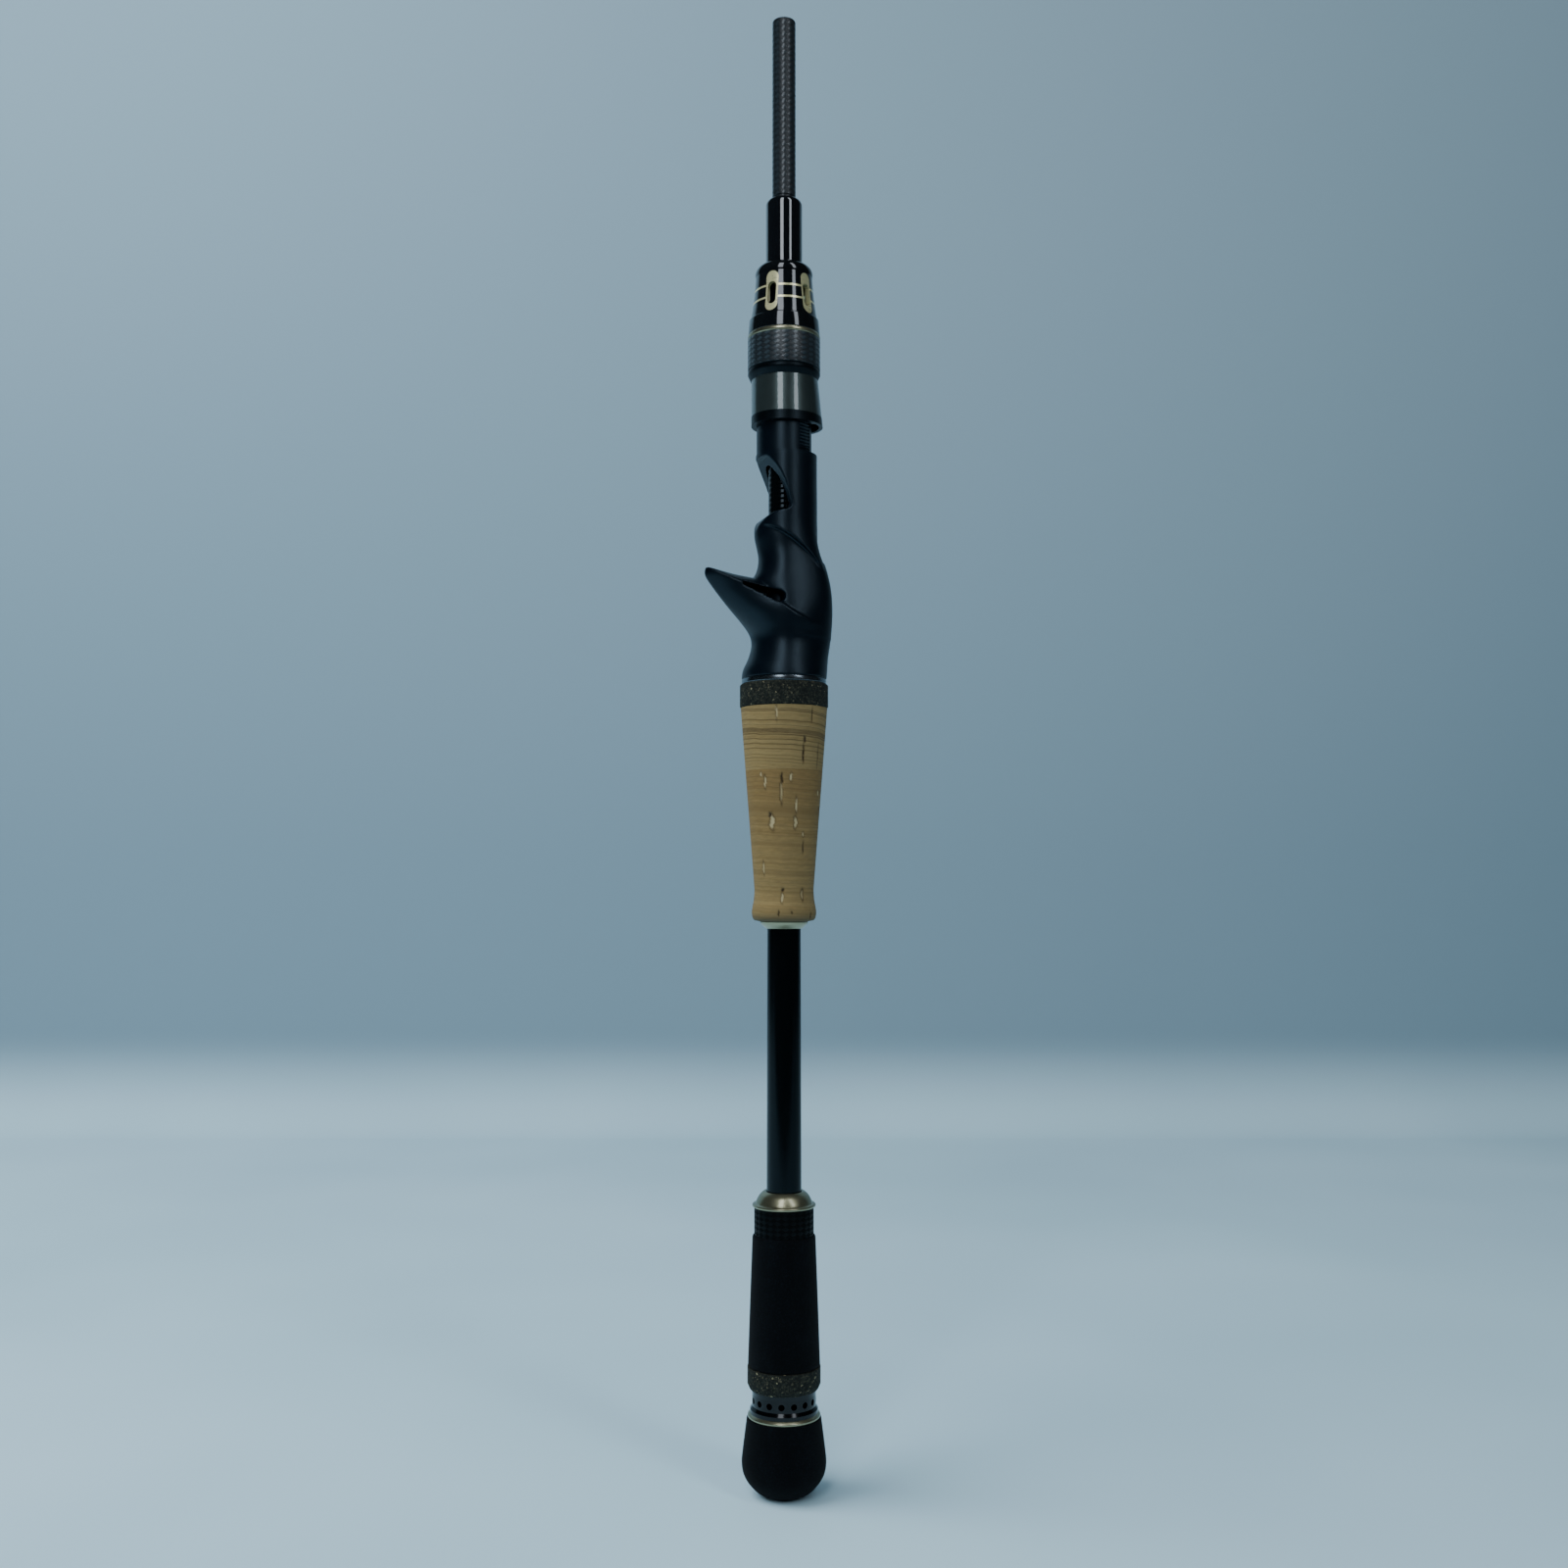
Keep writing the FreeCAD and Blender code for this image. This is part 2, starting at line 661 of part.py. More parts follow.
def reel_seat():
    """One moulding: palm swell, trigger, finger scoop, blank window and threaded barrel."""
    foot = seat_at.value
    step = barrel_at.value
    deck = S.deck_height.value
    barrel = S.barrel_radius.value
    bore = S.seat_bore.value
    palm = S.palm_height.value
    finger = S.finger_radius.value
    reach = S.trigger_reach.value
    end = S.seat_foot_radius.value

    palm_and_trigger = loft([
        (end, end, end, 2, 2, foot),
        (end - 0.35, end + 0.3, end - 0.5, 2, 2, foot + 2.5),
        (10.6, palm - 1.3, 11.2, 2, 2, foot + 6.4),
        (9.7, palm - 0.6, 10.6, 2, 2, foot + 10.5),
        (10.6, palm - 0.2, 10.9, 1.9, 2, foot + 13.6),
        (reach * 0.53, palm, 11.5, 1.7, 2, foot + 16.8),
        (reach * 0.67, palm - 0.05, 11.8, 1.55, 2, foot + 20.4),
        (reach * 0.80, palm - 0.4, 11.2, 1.48, 2, foot + 24.1),
        (reach * 0.92, palm - 1.0, 10.6, 1.45, 2, foot + 27.9),
        (reach * 0.97, palm - 1.6, 10.3, 1.5, 2, foot + 29.9),
        (reach * 0.97, palm - 2.3, 9.9, 1.6, 2, foot + 32.0),
        (reach * 0.90, palm - 3.4, 9.4, 1.6, 2, foot + 35.0),
    ], 1.6)
    below_scoop = saddle_block(foot - 1, [
        (-reach - 2, foot + 32.2, foot + 31.2, 4.2),
        (-20.0, foot + 31.7, foot + 29.8, 4.8),
        (-15.1, foot + 30.7, foot + 27.4, 6.7),
        (-6.4, foot + 29.4, foot + 21.8, 10.5),
        (1.0, foot + 25.6, foot + 17.6, 11.5),
        (8.9, foot + 19.0, foot + 14.8, 9.6),
        (palm + 3, foot + 14.5, foot + 12.0, 8.0),
    ])
    upper = loft([
        (9.4, palm - 0.6, 11.5, 2, 2, foot + 12),
        (9.4, palm - 0.1, 11.6, 2, 2, foot + 20),
        (9.3, palm - 0.9, 11.0, 2, 2.2, foot + 27),
        (9.2, palm - 2.3, 10.3, 2, 2.35, foot + 33.3),
        (9.0, palm - 3.7, 9.8, 2, 2.4, foot + 37.4),
        (8.9, deck + 0.15, 9.4, 2, 2.3, foot + 41.6),
        (8.8, deck, 9.2, 2, 2.1, foot + 46),
        (8.65, deck, 9.2, 2, 2.05, foot + 53),
        (8.5, deck, 9.15, 2, 2, foot + 60),
        (8.4, deck, 9.15, 2, 2, step),
    ])
    above_ridge = side_prism([
        (-16.0, foot + 48.0),
        Bulge((0.0, foot + 41.4), (15.0, foot + 24.4)),
        (30.0, foot + 5.0),
        (30.0, step + 10),
        (-16.0, step + 10),
    ])
    scoop_wall = loft([
        (9.0, palm - 0.3, 10.75, 2, 2, foot + 12),
        (9.0, palm - 0.05, 11.0, 2, 2.2, foot + 18),
        (9.2, palm - 0.5, 10.3, 2, 2.8, foot + 24),
        (10.6, palm - 1.1, 9.4, 1.8, 3.1, foot + 28.4),
        (9.2, palm - 1.6, 8.9, 1.95, 3.2, foot + 30.6),
        (8.1, palm - 2.2, 8.4, 2, 3.2, foot + 33),
        (finger, palm - 3.2, 7.9, 2, 2.9, foot + 36.2),
        (finger + 0.5, palm - 4.4, 7.6, 2, 2.4, foot + 39),
        (9.0, deck - 0.5, 7.7, 2, 2, foot + 42.5),
        (9.0, deck - 1.0, 7.9, 2, 2, foot + 46.5),
        (8.8, deck - 1.0, 8.0, 2, 2, foot + 50),
    ], 1.6)
    solid = palm_and_trigger.common(below_scoop).fuse([upper.common(above_ridge), scoop_wall])

    barrel_solid = Part.makeCylinder(barrel, S.barrel_length.value + 2, vector(0, 0, step - 2))
    grooves = []
    for side in (1, -1):
        grooves.append(thread_grooves(step + 0.5, step + S.barrel_length.value, barrel,
                                      S.thread_depth.value, S.thread_pitch.value, 57 * side, 32))
    keyway_floor = barrel - S.keyway_depth.value
    keyway = Part.makeBox(3, S.keyway_width.value, S.barrel_length.value + 1,
                          vector(keyway_floor, -S.keyway_width.value / 2, step + 0.5))
    solid = solid.fuse(barrel_solid.cut(grooves + [keyway]))

    window = side_prism([
        (-14.0, step - 1.4),
        (-6.9, step - 1.4),
        Bulge((-2.9, step - 8.1), (-0.6, step - 15.0)),
        Bulge((-0.9, step - 17.3), (-2.9, step - 17.9)),
        (-4.6, step - 18.4),
        Bulge((-8.0, step - 21.0), (-9.2, step - 24.4)),
        (-14.0, step - 25.4),
    ])
    mouth = foot + 35.0
    pocket_form = Part.makeCone(deck + 2.3, deck + 1.65, 13, vector(0, 0, mouth - 12))
    foot_pocket = curved_slot(deck - 0.35, pocket_form)
    deck_relief = curved_slot(deck + 0.02, Part.makeCylinder(2 * deck, 12, vector(0, 0, mouth)))
    side_slot = side_prism([
        (-14.6, foot + 28.2),
        (-4.2, foot + 25.4),
        Bulge((-2.7, foot + 23.4), (-4.0, foot + 21.7)),
        (-5.2, foot + 21.6),
        (-14.6, foot + 27.0),
    ])
    web = Part.makeBox(30, 4, 60, vector(-30, -2, foot))
    bore_tool = Part.makeCylinder(bore, S.seat_length.value + S.barrel_length.value + 2,
                                  vector(0, 0, foot - 1))
    slots = side_slot.cut([web, Part.makeCylinder(bore + 1.2, 100, vector(0, 0, foot))])
    solid = solid.cut([window, deck_relief, foot_pocket, slots, bore_tool])
    sculpted("reel_seat", max(solid.Solids, key=lambda item: item.Volume))


def seat_arbors():
    """Spacer bushes that centre the seat on the blank."""
    radius = S.seat_bore - S.glue_gap
    places = {"seat_arbor_rear": seat_at + 2.0, "seat_arbor_front": barrel_at + 6.0}
    for label, height in places.items():
        bore = bore_at(height)
        turned(label, height, [
            (bore, 0),
            (radius, 0),
            (radius, S.arbor_length),
            (bore, S.arbor_length),
        ])


# ---------------------------------------------------------------- sliding hood

def hood_form(inset, low, high):
    """Tapered oval form, fuller on the reel side, between two heights above the hood's foot."""
    def section(height):
        share = height / S.hood_length.value
        reel = S.hood_reel_side.value + share * (S.hood_reel_side_top.value - S.hood_reel_side.value)
        round_side = S.hood_radius.value - inset
        return egg_section(round_side, reel - inset, round_side, hood_at.value + height)
    return Part.makeLoft([section(low), section((low + high) / 2), section(high)], True, False)


def sliding_hood():
    rim = S.hood_rim.value
    top = S.hood_length.value
    wall = S.band_wall.value
    bore = Part.makeCylinder(thread_bore.value, top + 4, vector(0, 0, hood_at.value - 2))
    inner = wall + S.glue_gap.value
    body = hood_form(inner, rim, top).fuse(hood_form(0.0, 0.0, rim))
    foot_slot = side_prism([
        (6.0, hood_at.value - 1),
        (S.hood_reel_side.value - 1.1, hood_at.value - 1),
        (S.hood_reel_side_top.value - 0.9, hood_at.value + top - 2.4),
        (6.0, hood_at.value + top - 2.4),
    ], S.foot_width.value / 2)
    foot_pocket = foot_slot.common(hood_form(inner + 0.5, -1.0, top))
    key_radius = S.barrel_radius.value - S.keyway_depth.value + S.key_gap.value
    key_width = S.keyway_width.value - 2 * S.key_gap.value
    key = Part.makeBox(1.6, key_width, 2.2, vector(key_radius, -key_width / 2, hood_at.value + top - 2.3))
    liner = body.cut([bore, foot_pocket]).fuse(key).removeSplitter()
    sculpted("hood_liner", liner)
    band = hood_form(0.0, rim, top).cut(hood_form(wall, rim - 0.01, top + 0.01))
    sculpted("hood_band", band.removeSplitter())


# ---------------------------------------------------------------- lock nut and foregrip

def nut_thrust_ring():
    turned("nut_thrust_ring", thrust_at, [
        (thread_bore, 0),
        (S.thrust_low_radius, 0),
        (S.nut_radius, S.thrust_length * 0.55),
        (S.nut_radius, S.thrust_length),
        (thread_bore, S.thrust_length),
    ])


def nut_core():
    length = S.nut_carbon_length + S.nut_gold_length
    turned("nut_core", nut_carbon_at, [
        (thread_bore, 0),
        (S.nut_core_radius, 0),
        (S.nut_core_radius, length),
        (thread_bore, length),
    ])


def nut_carbon_ring():
    bore = S.nut_core_radius + S.glue_gap
    turned("nut_carbon_ring", nut_carbon_at, [
        (bore, 0),
        (S.nut_radius, 0),
        (S.nut_radius, S.nut_carbon_length),
        (bore, S.nut_carbon_length),
    ])


def nut_gold_ring():
    bore = S.nut_core_radius + S.glue_gap
    proud = S.nut_radius + 0.06
    turned("nut_gold_ring", nut_gold_at, [
        (bore, 0),
        (proud - 0.15, 0),
        Bulge((proud, S.nut_gold_length / 2), (proud - 0.15, S.nut_gold_length)),
        (bore, S.nut_gold_length),
    ])


def foregrip_collar():
    top = S.shell_low_radius + 0.5
    turned("foregrip_collar", collar_at, [
        (thread_bore + 0.05, 0),
        (S.nut_radius - 0.05, 0),
        (top, S.collar_length - 0.3),
        (top - 0.3, S.collar_length),
        (thread_bore + 0.05, S.collar_length),
    ])


def shell_side(inset):
    """Side of the foregrip shell from its foot to its rounded shoulder, set in by inset."""
    length = S.shell_length
    low = S.shell_low_radius - inset
    high = S.shell_high_radius - inset
    return [
        (low, 0),
        Bulge((high + 0.45, length * 0.45), (high, length * 0.79)),
        Bulge((high - 0.35, length - 0.95), (high - 1.45, length)),
    ]


def window_prism(width, low, high, inner):
    """Stadium-shaped plug that points out along -Y, from one radius outwards."""
    half = width / 2
    edges = [
        Part.Arc(vector(-half, -inner, high - half), vector(0, -inner, high),
                 vector(half, -inner, high - half)).toShape(),
        Part.LineSegment(vector(half, -inner, high - half), vector(half, -inner, low + half)).toShape(),
        Part.Arc(vector(half, -inner, low + half), vector(0, -inner, low),
                 vector(-half, -inner, low + half)).toShape(),
        Part.LineSegment(vector(-half, -inner, low + half), vector(-half, -inner, high - half)).toShape(),
    ]
    return Part.Face(Part.Wire(edges)).extrude(vector(0, -20, 0))


def around(shape, turn):
    """One copy of a shape for each foregrip window."""
    copies = []
    for index in range(WINDOWS):
        copy = shape.copy()
        copy.rotate(vector(0, 0, 0), vector(0, 0, 1), turn + 360.0 * index / WINDOWS)
        copies.append(copy)
    return copies


def foregrip_shell():
    """Hollow shell with oval windows, a gilt bezel in each, and two inlaid pinstripes."""
    length = S.shell_length
    cavity = S.shell_high_radius - S.shell_wall
    throat = S.wrap_radius + S.shell_mouth_gap
    blank = turned("shell_form", shell_at, [
        (thread_bore + 0.05, 0),
        *shell_side(0.0),
        (throat, length),
        (throat, length - 1.6),
        (cavity, length - 2.6),
        (cavity, 4.2),
        (thread_bore + 0.05, 3.0),
    ], keep=False)
    skin = turned("bezel_form", shell_at, [
        (thread_bore + 0.3, 0.2),
        (S.shell_low_radius - 0.15, 0.2),
        *shell_side(0.1)[1:],
        (cavity + 0.25, length),
        (cavity + 0.25, 4.3),
        (thread_bore + 0.3, 3.1),
    ], keep=False)
    doc.recompute()
    foot = shell_at.value
    low = foot + 0.3
    high = low + S.window_height.value
    sight_low = low + 2.2
    sight_high = sight_low + S.window_sight.value
    width = S.window_width.value
    turn = S.window_turn.value
    frames = around(window_prism(width, low, high, 4.0), turn)
    gap = S.glue_gap.value
    plugs = around(window_prism(width - 2 * gap, low + gap, high - gap, 4.0), turn)
    sights = around(window_prism(width - 2 * S.window_rim.value, sight_low, sight_high, 4.0), turn)
    groove = [stripe_ring(middle, 0.0) for middle in (foot + 4.6, foot + 8.4)]
    shell = blank.Shape.cut(frames + groove)
    sculpted("foregrip_shell", shell)
    bezels = [plug.common(skin.Shape).cut(sights) for plug in plugs]
    sculpted("window_bezels", Part.makeCompound([piece.Solids[0] for piece in bezels]))
    stripes = []
    for middle in (foot + 4.6, foot + 8.4):
        ring = stripe_ring(middle, gap / 2).common(blank.Shape.cut(frames))
        stripes.extend(ring.Solids)
    sculpted("pinstripes", Part.makeCompound(stripes))


def stripe_ring(middle, gap):
    """Ring that cuts, or fills, one pinstripe groove in the foregrip shell."""
    half = S.stripe_width.value / 2 - gap
    share = (middle - shell_at.value) / (S.shell_length.value * 0.79)
    low = S.shell_low_radius.value
    slope = (S.shell_high_radius.value - low) * (1.35 - 0.35 * share)
    floor = low + slope * share - S.stripe_depth.value + gap
    outer = Part.makeCylinder(floor + 3, 2 * half, vector(0, 0, middle - half))
    return outer.cut(Part.makeCylinder(floor, 2 * half + 2, vector(0, 0, middle - half - 1)))


def front_wrap():
    """Varnished thread wrap with a bullet nose, over the blank's end and the spigot."""
    bore = blank_radius_at(wrap_foot) + S.glue_gap
    inner_top = blank_top - wrap_foot + S.glue_gap
    length = wrap_top - wrap_foot
    nose = land_radius + S.glue_gap
    turned("front_wrap", wrap_foot, [
        (bore, 0),
        (S.wrap_radius, 0),
        (S.wrap_radius, length - S.wrap_nose),
        Bulge((S.wrap_radius - 0.55, length - S.wrap_nose * 0.28), (S.spigot_radius + 0.39, length)),
        (nose, length),
        (nose, inner_top),
        (bore, inner_top),
    ])


# ---------------------------------------------------------------- the whole handle

rod_blank()
butt_plug()
butt_cap()
butt_gold_ring()
butt_spacer_ring()
butt_cork_ring()
rear_grip()
rear_carbon_ring()
rear_check()
front_check()
cork_rings()
grip_trim_ring()
seat_end_ring()
reel_seat()
seat_arbors()
sliding_hood()
nut_thrust_ring()
nut_core()
nut_carbon_ring()
nut_gold_ring()
foregrip_collar()
foregrip_shell()
front_wrap()
ferrule_spigot()
spigot_plug()
doc.recompute()

for item in doc.Objects:
    if "Invalid" in item.State or "Error" in item.State:
        raise RuntimeError(f"{item.Name} did not recompute: {item.State}")
for label, item in kept.items():
    if item.Shape.isNull() or not item.Shape.isValid():
        raise RuntimeError(f"{label} has no valid shape")

os.makedirs("parts", exist_ok=True)
for label, item in kept.items():
    item.Shape.exportStep(f"parts/{label}.step")
print(len(kept), "sub-parts written")
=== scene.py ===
"""Looks of a casting rod's butt section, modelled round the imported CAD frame.

Metres, with sizes given in millimetres and turned to metres where they are used. +Z runs up
the rod from the butt, the reel sits on the +X side and the trigger points to -X. Angles round
the rod are degrees from -Y, positive towards +X.
"""
from __future__ import annotations

import json
import logging
import math
import random
from collections.abc import Sequence
from dataclasses import dataclass, field
from enum import Enum

import bpy
import numpy as np
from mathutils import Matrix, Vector

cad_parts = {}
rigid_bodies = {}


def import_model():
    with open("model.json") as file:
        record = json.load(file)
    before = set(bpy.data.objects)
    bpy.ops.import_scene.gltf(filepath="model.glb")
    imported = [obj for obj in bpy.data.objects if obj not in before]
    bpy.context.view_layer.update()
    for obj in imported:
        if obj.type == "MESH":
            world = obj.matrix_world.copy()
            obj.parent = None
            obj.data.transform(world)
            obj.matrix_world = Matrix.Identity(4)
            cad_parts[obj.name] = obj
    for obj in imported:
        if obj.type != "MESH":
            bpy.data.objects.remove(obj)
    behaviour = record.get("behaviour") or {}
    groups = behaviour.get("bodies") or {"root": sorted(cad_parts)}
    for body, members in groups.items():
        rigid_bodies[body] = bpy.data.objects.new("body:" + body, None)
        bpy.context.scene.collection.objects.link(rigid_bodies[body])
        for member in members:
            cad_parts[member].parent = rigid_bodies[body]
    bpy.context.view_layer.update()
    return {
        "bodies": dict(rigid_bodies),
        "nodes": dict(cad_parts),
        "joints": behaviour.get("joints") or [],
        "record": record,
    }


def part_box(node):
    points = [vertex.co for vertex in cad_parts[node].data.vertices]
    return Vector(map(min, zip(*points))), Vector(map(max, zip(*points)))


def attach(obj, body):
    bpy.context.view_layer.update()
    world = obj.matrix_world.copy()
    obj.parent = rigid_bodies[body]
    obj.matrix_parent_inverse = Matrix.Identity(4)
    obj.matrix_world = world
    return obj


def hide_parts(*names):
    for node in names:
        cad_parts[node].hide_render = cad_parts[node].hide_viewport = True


LOG = logging.getLogger("rod_butt")
MM = 0.001
FRONT = -18.0  # degrees round the rod to the side that faces the viewer

Point = tuple[float, float]
Socket = bpy.types.NodeSocket
Tree = bpy.types.NodeTree
Piece = bpy.types.Object


# ---------------------------------------------------------------- nodes and colours

def linear(code: str, alpha: float = 1.0) -> tuple[float, float, float, float]:
    """Turn an sRGB hex colour into the linear colour that a socket takes.

    Args:
        code: Six hex digits, such as "1b2430".
        alpha: Fourth channel.

    Returns:
        Linear red, green, blue and alpha.
    """
    parts = [int(code[i:i + 2], 16) / 255 for i in (0, 2, 4)]
    red, green, blue = (p / 12.92 if p <= 0.04045 else ((p + 0.055) / 1.055) ** 2.4 for p in parts)
    return red, green, blue, alpha


def add_node(tree: Tree, kind: str, settings: dict | None = None, inputs: dict | None = None):
    """Add a node, set its properties, and set or link its inputs.

    Args:
        tree: Node tree of the material or world.
        kind: The node's type name, without the "ShaderNode" in front.
        settings: Property names and values.
        inputs: Input names or numbers, each with a value or a socket to link.

    Returns:
        The new node.
    """
    node = tree.nodes.new(f"ShaderNode{kind}")
    for key, value in (settings or {}).items():
        setattr(node, key, value)
    for key, value in (inputs or {}).items():
        if isinstance(value, Socket):
            tree.links.new(value, node.inputs[key])
        else:
            node.inputs[key].default_value = value
    return node


def reckon(tree: Tree, operation: str, *values: float | Socket | tuple) -> Socket:
    """Build arithmetic in a node tree, from the innermost step out.

    Args:
        tree: Node tree that gets the steps.
        operation: Name of the last step's operation.
        values: Numbers, sockets, or further steps as tuples of an operation and its values.

    Returns:
        The result's socket.
    """
    ready = [reckon(tree, *value) if isinstance(value, tuple) else value for value in values]
    return add_node(tree, "Math", {"operation": operation}, dict(enumerate(ready))).outputs[0]


def shades(tree: Tree, value: Socket, stops: Sequence[tuple[float, str]]) -> Socket:
    """Colour a value by a ramp of sRGB colours.

    Args:
        tree: Node tree that gets the ramp.
        value: What the ramp reads, from 0 to 1.
        stops: Positions and hex colours, lowest first.

    Returns:
        The ramp's colour socket.
    """
    ramp = add_node(tree, "ValToRGB", inputs={0: value})
    band = ramp.color_ramp.elements
    while len(band) < len(stops):
        band.new(0.5)
    for element, (position, code) in zip(band, stops):
        element.position = position
        element.color = linear(code)
    return ramp.outputs["Color"]


def axes(tree: Tree) -> bpy.types.bpy_prop_collection:
    """Object coordinates apart, as sockets named X, Y and Z."""
    place = add_node(tree, "TexCoord").outputs["Object"]
    return add_node(tree, "SeparateXYZ", inputs={0: place}).outputs


def stretched(tree: Tree, around: float, along: float) -> Socket:
    """Coordinates that repeat once per given length round and along the rod.

    Args:
        tree: Node tree that gets the coordinates.
        around: Millimetres across the rod for one unit.
        along: Millimetres up the rod for one unit.

    Returns:
        A vector socket on Object coordinates.
    """
    place = add_node(tree, "TexCoord").outputs["Object"]
    scale = (1 / (around * MM), 1 / (around * MM), 1 / (along * MM))
    return add_node(tree, "Mapping", inputs={"Vector": place, "Scale": scale}).outputs["Vector"]


def clouded(tree: Tree, around: float, along: float, detail: float = 3.0,
            rough: float = 0.55) -> Socket:
    """Smooth random pattern of a given size on the rod.

    Args:
        tree: Node tree that gets the pattern.
        around: Width of its patches across the rod, in millimetres.
        along: Their height up the rod, in millimetres.
        detail: How many finer patterns are laid over it.
        rough: How strong the finer ones are.

    Returns:
        A value from 0 to 1.
    """
    sizes = {"Vector": stretched(tree, around, along), "Scale": 1.0, "Detail": detail,
             "Roughness": rough}
    return add_node(tree, "TexNoise", inputs=sizes).outputs["Fac"]


# ---------------------------------------------------------------- finishes

@dataclass(frozen=True)
class Finish:
    """What a surface is made of, and how it was made smooth or rough.

    The sizes of its kinds' patterns are in millimetres, as a width round the rod and a height up
    it where there are two, and hex colours are sRGB.
    """

    name: str
    colour: str
    roughness: float
    metallic: float = 0.0
    ior: float = 1.5
    coat: float = 0.0
    coat_roughness: float = 0.03
    gleam: str = "ffffff"

    def material(self) -> bpy.types.Material:
        """Make the material, or give back the one already made.

        Returns:
            The finished material.
        """
        made = bpy.data.materials.get(self.name)
        if made:
            return made
        made = bpy.data.materials.new(self.name)
        made.use_nodes = True
        tree = made.node_tree
        shader = tree.nodes["Principled BSDF"]
        sizes = {"Base Color": linear(self.colour), "Roughness": self.roughness,
                 "Metallic": self.metallic, "Specular Tint": linear(self.gleam),
                 "Coat Weight": self.coat, "Coat Roughness": self.coat_roughness}
        if not self.metallic:
            sizes["IOR"] = self.ior
        for name, value in sizes.items():
            shader.inputs[name].default_value = value
        self.detail(tree, shader)
        return made

    def detail(self, tree: Tree, shader: bpy.types.Node) -> None:
        """Add the pattern of this kind of finish. A plain one has none."""

    @staticmethod
    def relief(tree: Tree, shader: bpy.types.Node, height: Socket, depth: float) -> None:
        """Drive the shader's normal from a height between 0 and 1, depth millimetres deep."""
        sizes = {"Strength": 1.0, "Distance": depth * MM, "Height": height}
        bump = add_node(tree, "Bump", inputs=sizes).outputs["Normal"]
        tree.links.new(bump, shader.inputs["Normal"])

    @staticmethod
    def spread(tree: Tree, shader: bpy.types.Node, value: Socket, low: float, high: float) -> None:
        """Let the roughness run from low to high as value runs from 0 to 1."""
        sizes = {"Value": value, "To Min": low, "To Max": high}
        result = add_node(tree, "MapRange", inputs=sizes).outputs["Result"]
        tree.links.new(result, shader.inputs["Roughness"])

    def tinge(self, tree: Tree, shader: bpy.types.Node, value: Socket, low: float, high: float,
              lift: float = 0.0) -> None:
        """Let the colour run from low to high times its own, lifted at the high end."""
        ends = [(*(min(1.0, part * times + more) for part in linear(self.colour)[:3]), 1.0)
                for times, more in ((low, 0.0), (high, lift))]
        tint = add_node(tree, "Mix", {"data_type": "RGBA"}, {0: value, 6: ends[0], 7: ends[1]})
        tree.links.new(tint.outputs[2], shader.inputs["Base Color"])


@dataclass(frozen=True)
class Lacquer(Finish):
    """Sprayed clear lacquer over black: deep, wet gloss with a faint orange peel and dust."""

    peel: float = 3.0
    peel_depth: float = 0.004
    rub: Point = (0.5, 6.0)

    def detail(self, tree: Tree, shader: bpy.types.Node) -> None:
        """Orange peel a few millimetres wide, and hairline rub marks that dull the gloss."""
        peel = clouded(tree, self.peel, self.peel, 1.0)
        self.relief(tree, shader, peel, self.peel_depth)
        rubs = clouded(tree, *self.rub, 4.0, 0.7)
        self.spread(tree, shader, rubs, self.roughness * 0.6, self.roughness * 1.6)
        self.tinge(tree, shader, rubs, 1.0, 1.7, 0.0015)


@dataclass(frozen=True)
class TapedBlank(Lacquer):
    """Rolled carbon blank, thinly lacquered: the tape's ridges stay where it was not sanded.

    The real ridges are about 0.8 mm apart, and are drawn wider so that they show.
    """

    bare_foot: float = 237.0
    ridge: float = 1.5
    ridge_depth: float = 0.05

    def detail(self, tree: Tree, shader: bpy.types.Node) -> None:
        """Ridges of the shrink tape inside the seat, in place of orange peel, and none below it."""
        super().detail(tree, shader)
        height = axes(tree)["Z"]
        wave = reckon(tree, "SINE", ("MULTIPLY", height, 2 * math.pi / (self.ridge * MM)))
        inside = reckon(tree, "GREATER_THAN", height, self.bare_foot * MM)
        self.relief(tree, shader, reckon(tree, "MULTIPLY", wave, inside), self.ridge_depth)


@dataclass(frozen=True)
class Braid(Finish):
    """Woven carbon tows under a thin clear skin: a quiet chequer whose light tows are a painted
    sheen.
    """

    tows: int = 24
    pitch: float = 1.5
    # Colour of the painted sheen on the tows that lie over.
    light: str = "30383c"
    depth: float = 0.05
    fray: Point = (0.35, 0.9)
    fray_share: float = 0.45
    # How far the painted shade spreads in from each tow's sides.
    hollow: float = 0.6

    def detail(self, tree: Tree, shader: bpy.types.Node) -> None:
        """Tows at 45 degrees both ways, each rounded across its width and painted darker at its
        sides.
        """
        parts = axes(tree)
        turn = reckon(tree, "ARCTAN2", parts["Y"], parts["X"])
        across = reckon(tree, "MULTIPLY", turn, self.tows / (2 * math.pi))
        along = reckon(tree, "DIVIDE", parts["Z"], self.pitch * MM)
        left = reckon(tree, "ADD", across, along)
        right = reckon(tree, "SUBTRACT", across, along)
        cells = reckon(tree, "ADD", ("FLOOR", left), ("FLOOR", right))
        over = reckon(tree, "FLOORED_MODULO", cells, 2.0)
        crowns = [reckon(tree, "SINE", ("MULTIPLY", ("FRACT", way), math.pi))
                  for way in (left, right)]
        crown = add_node(tree, "Mix", {}, {0: over, 2: crowns[0], 3: crowns[1]}).outputs[0]
        self.relief(tree, shader, crown, self.depth)
        fray = clouded(tree, *self.fray, 2.0)
        # Painted sheen: the tows that lie over are coloured lighter, frayed at random.
        tone = reckon(tree, "MULTIPLY_ADD", over, 1 - self.fray_share,
                      ("MULTIPLY", fray, self.fray_share))
        # Painted shade: each tow's colour darkens towards its sides, where it dips under the next.
        shade = reckon(tree, "MULTIPLY", tone, ("POWER", crown, self.hollow))
        colour = shades(tree, shade, [(0.0, self.colour), (1.0, self.light)])
        tree.links.new(colour, shader.inputs["Base Color"])
        self.spread(tree, shader, over, self.roughness * 1.35, self.roughness * 0.8)


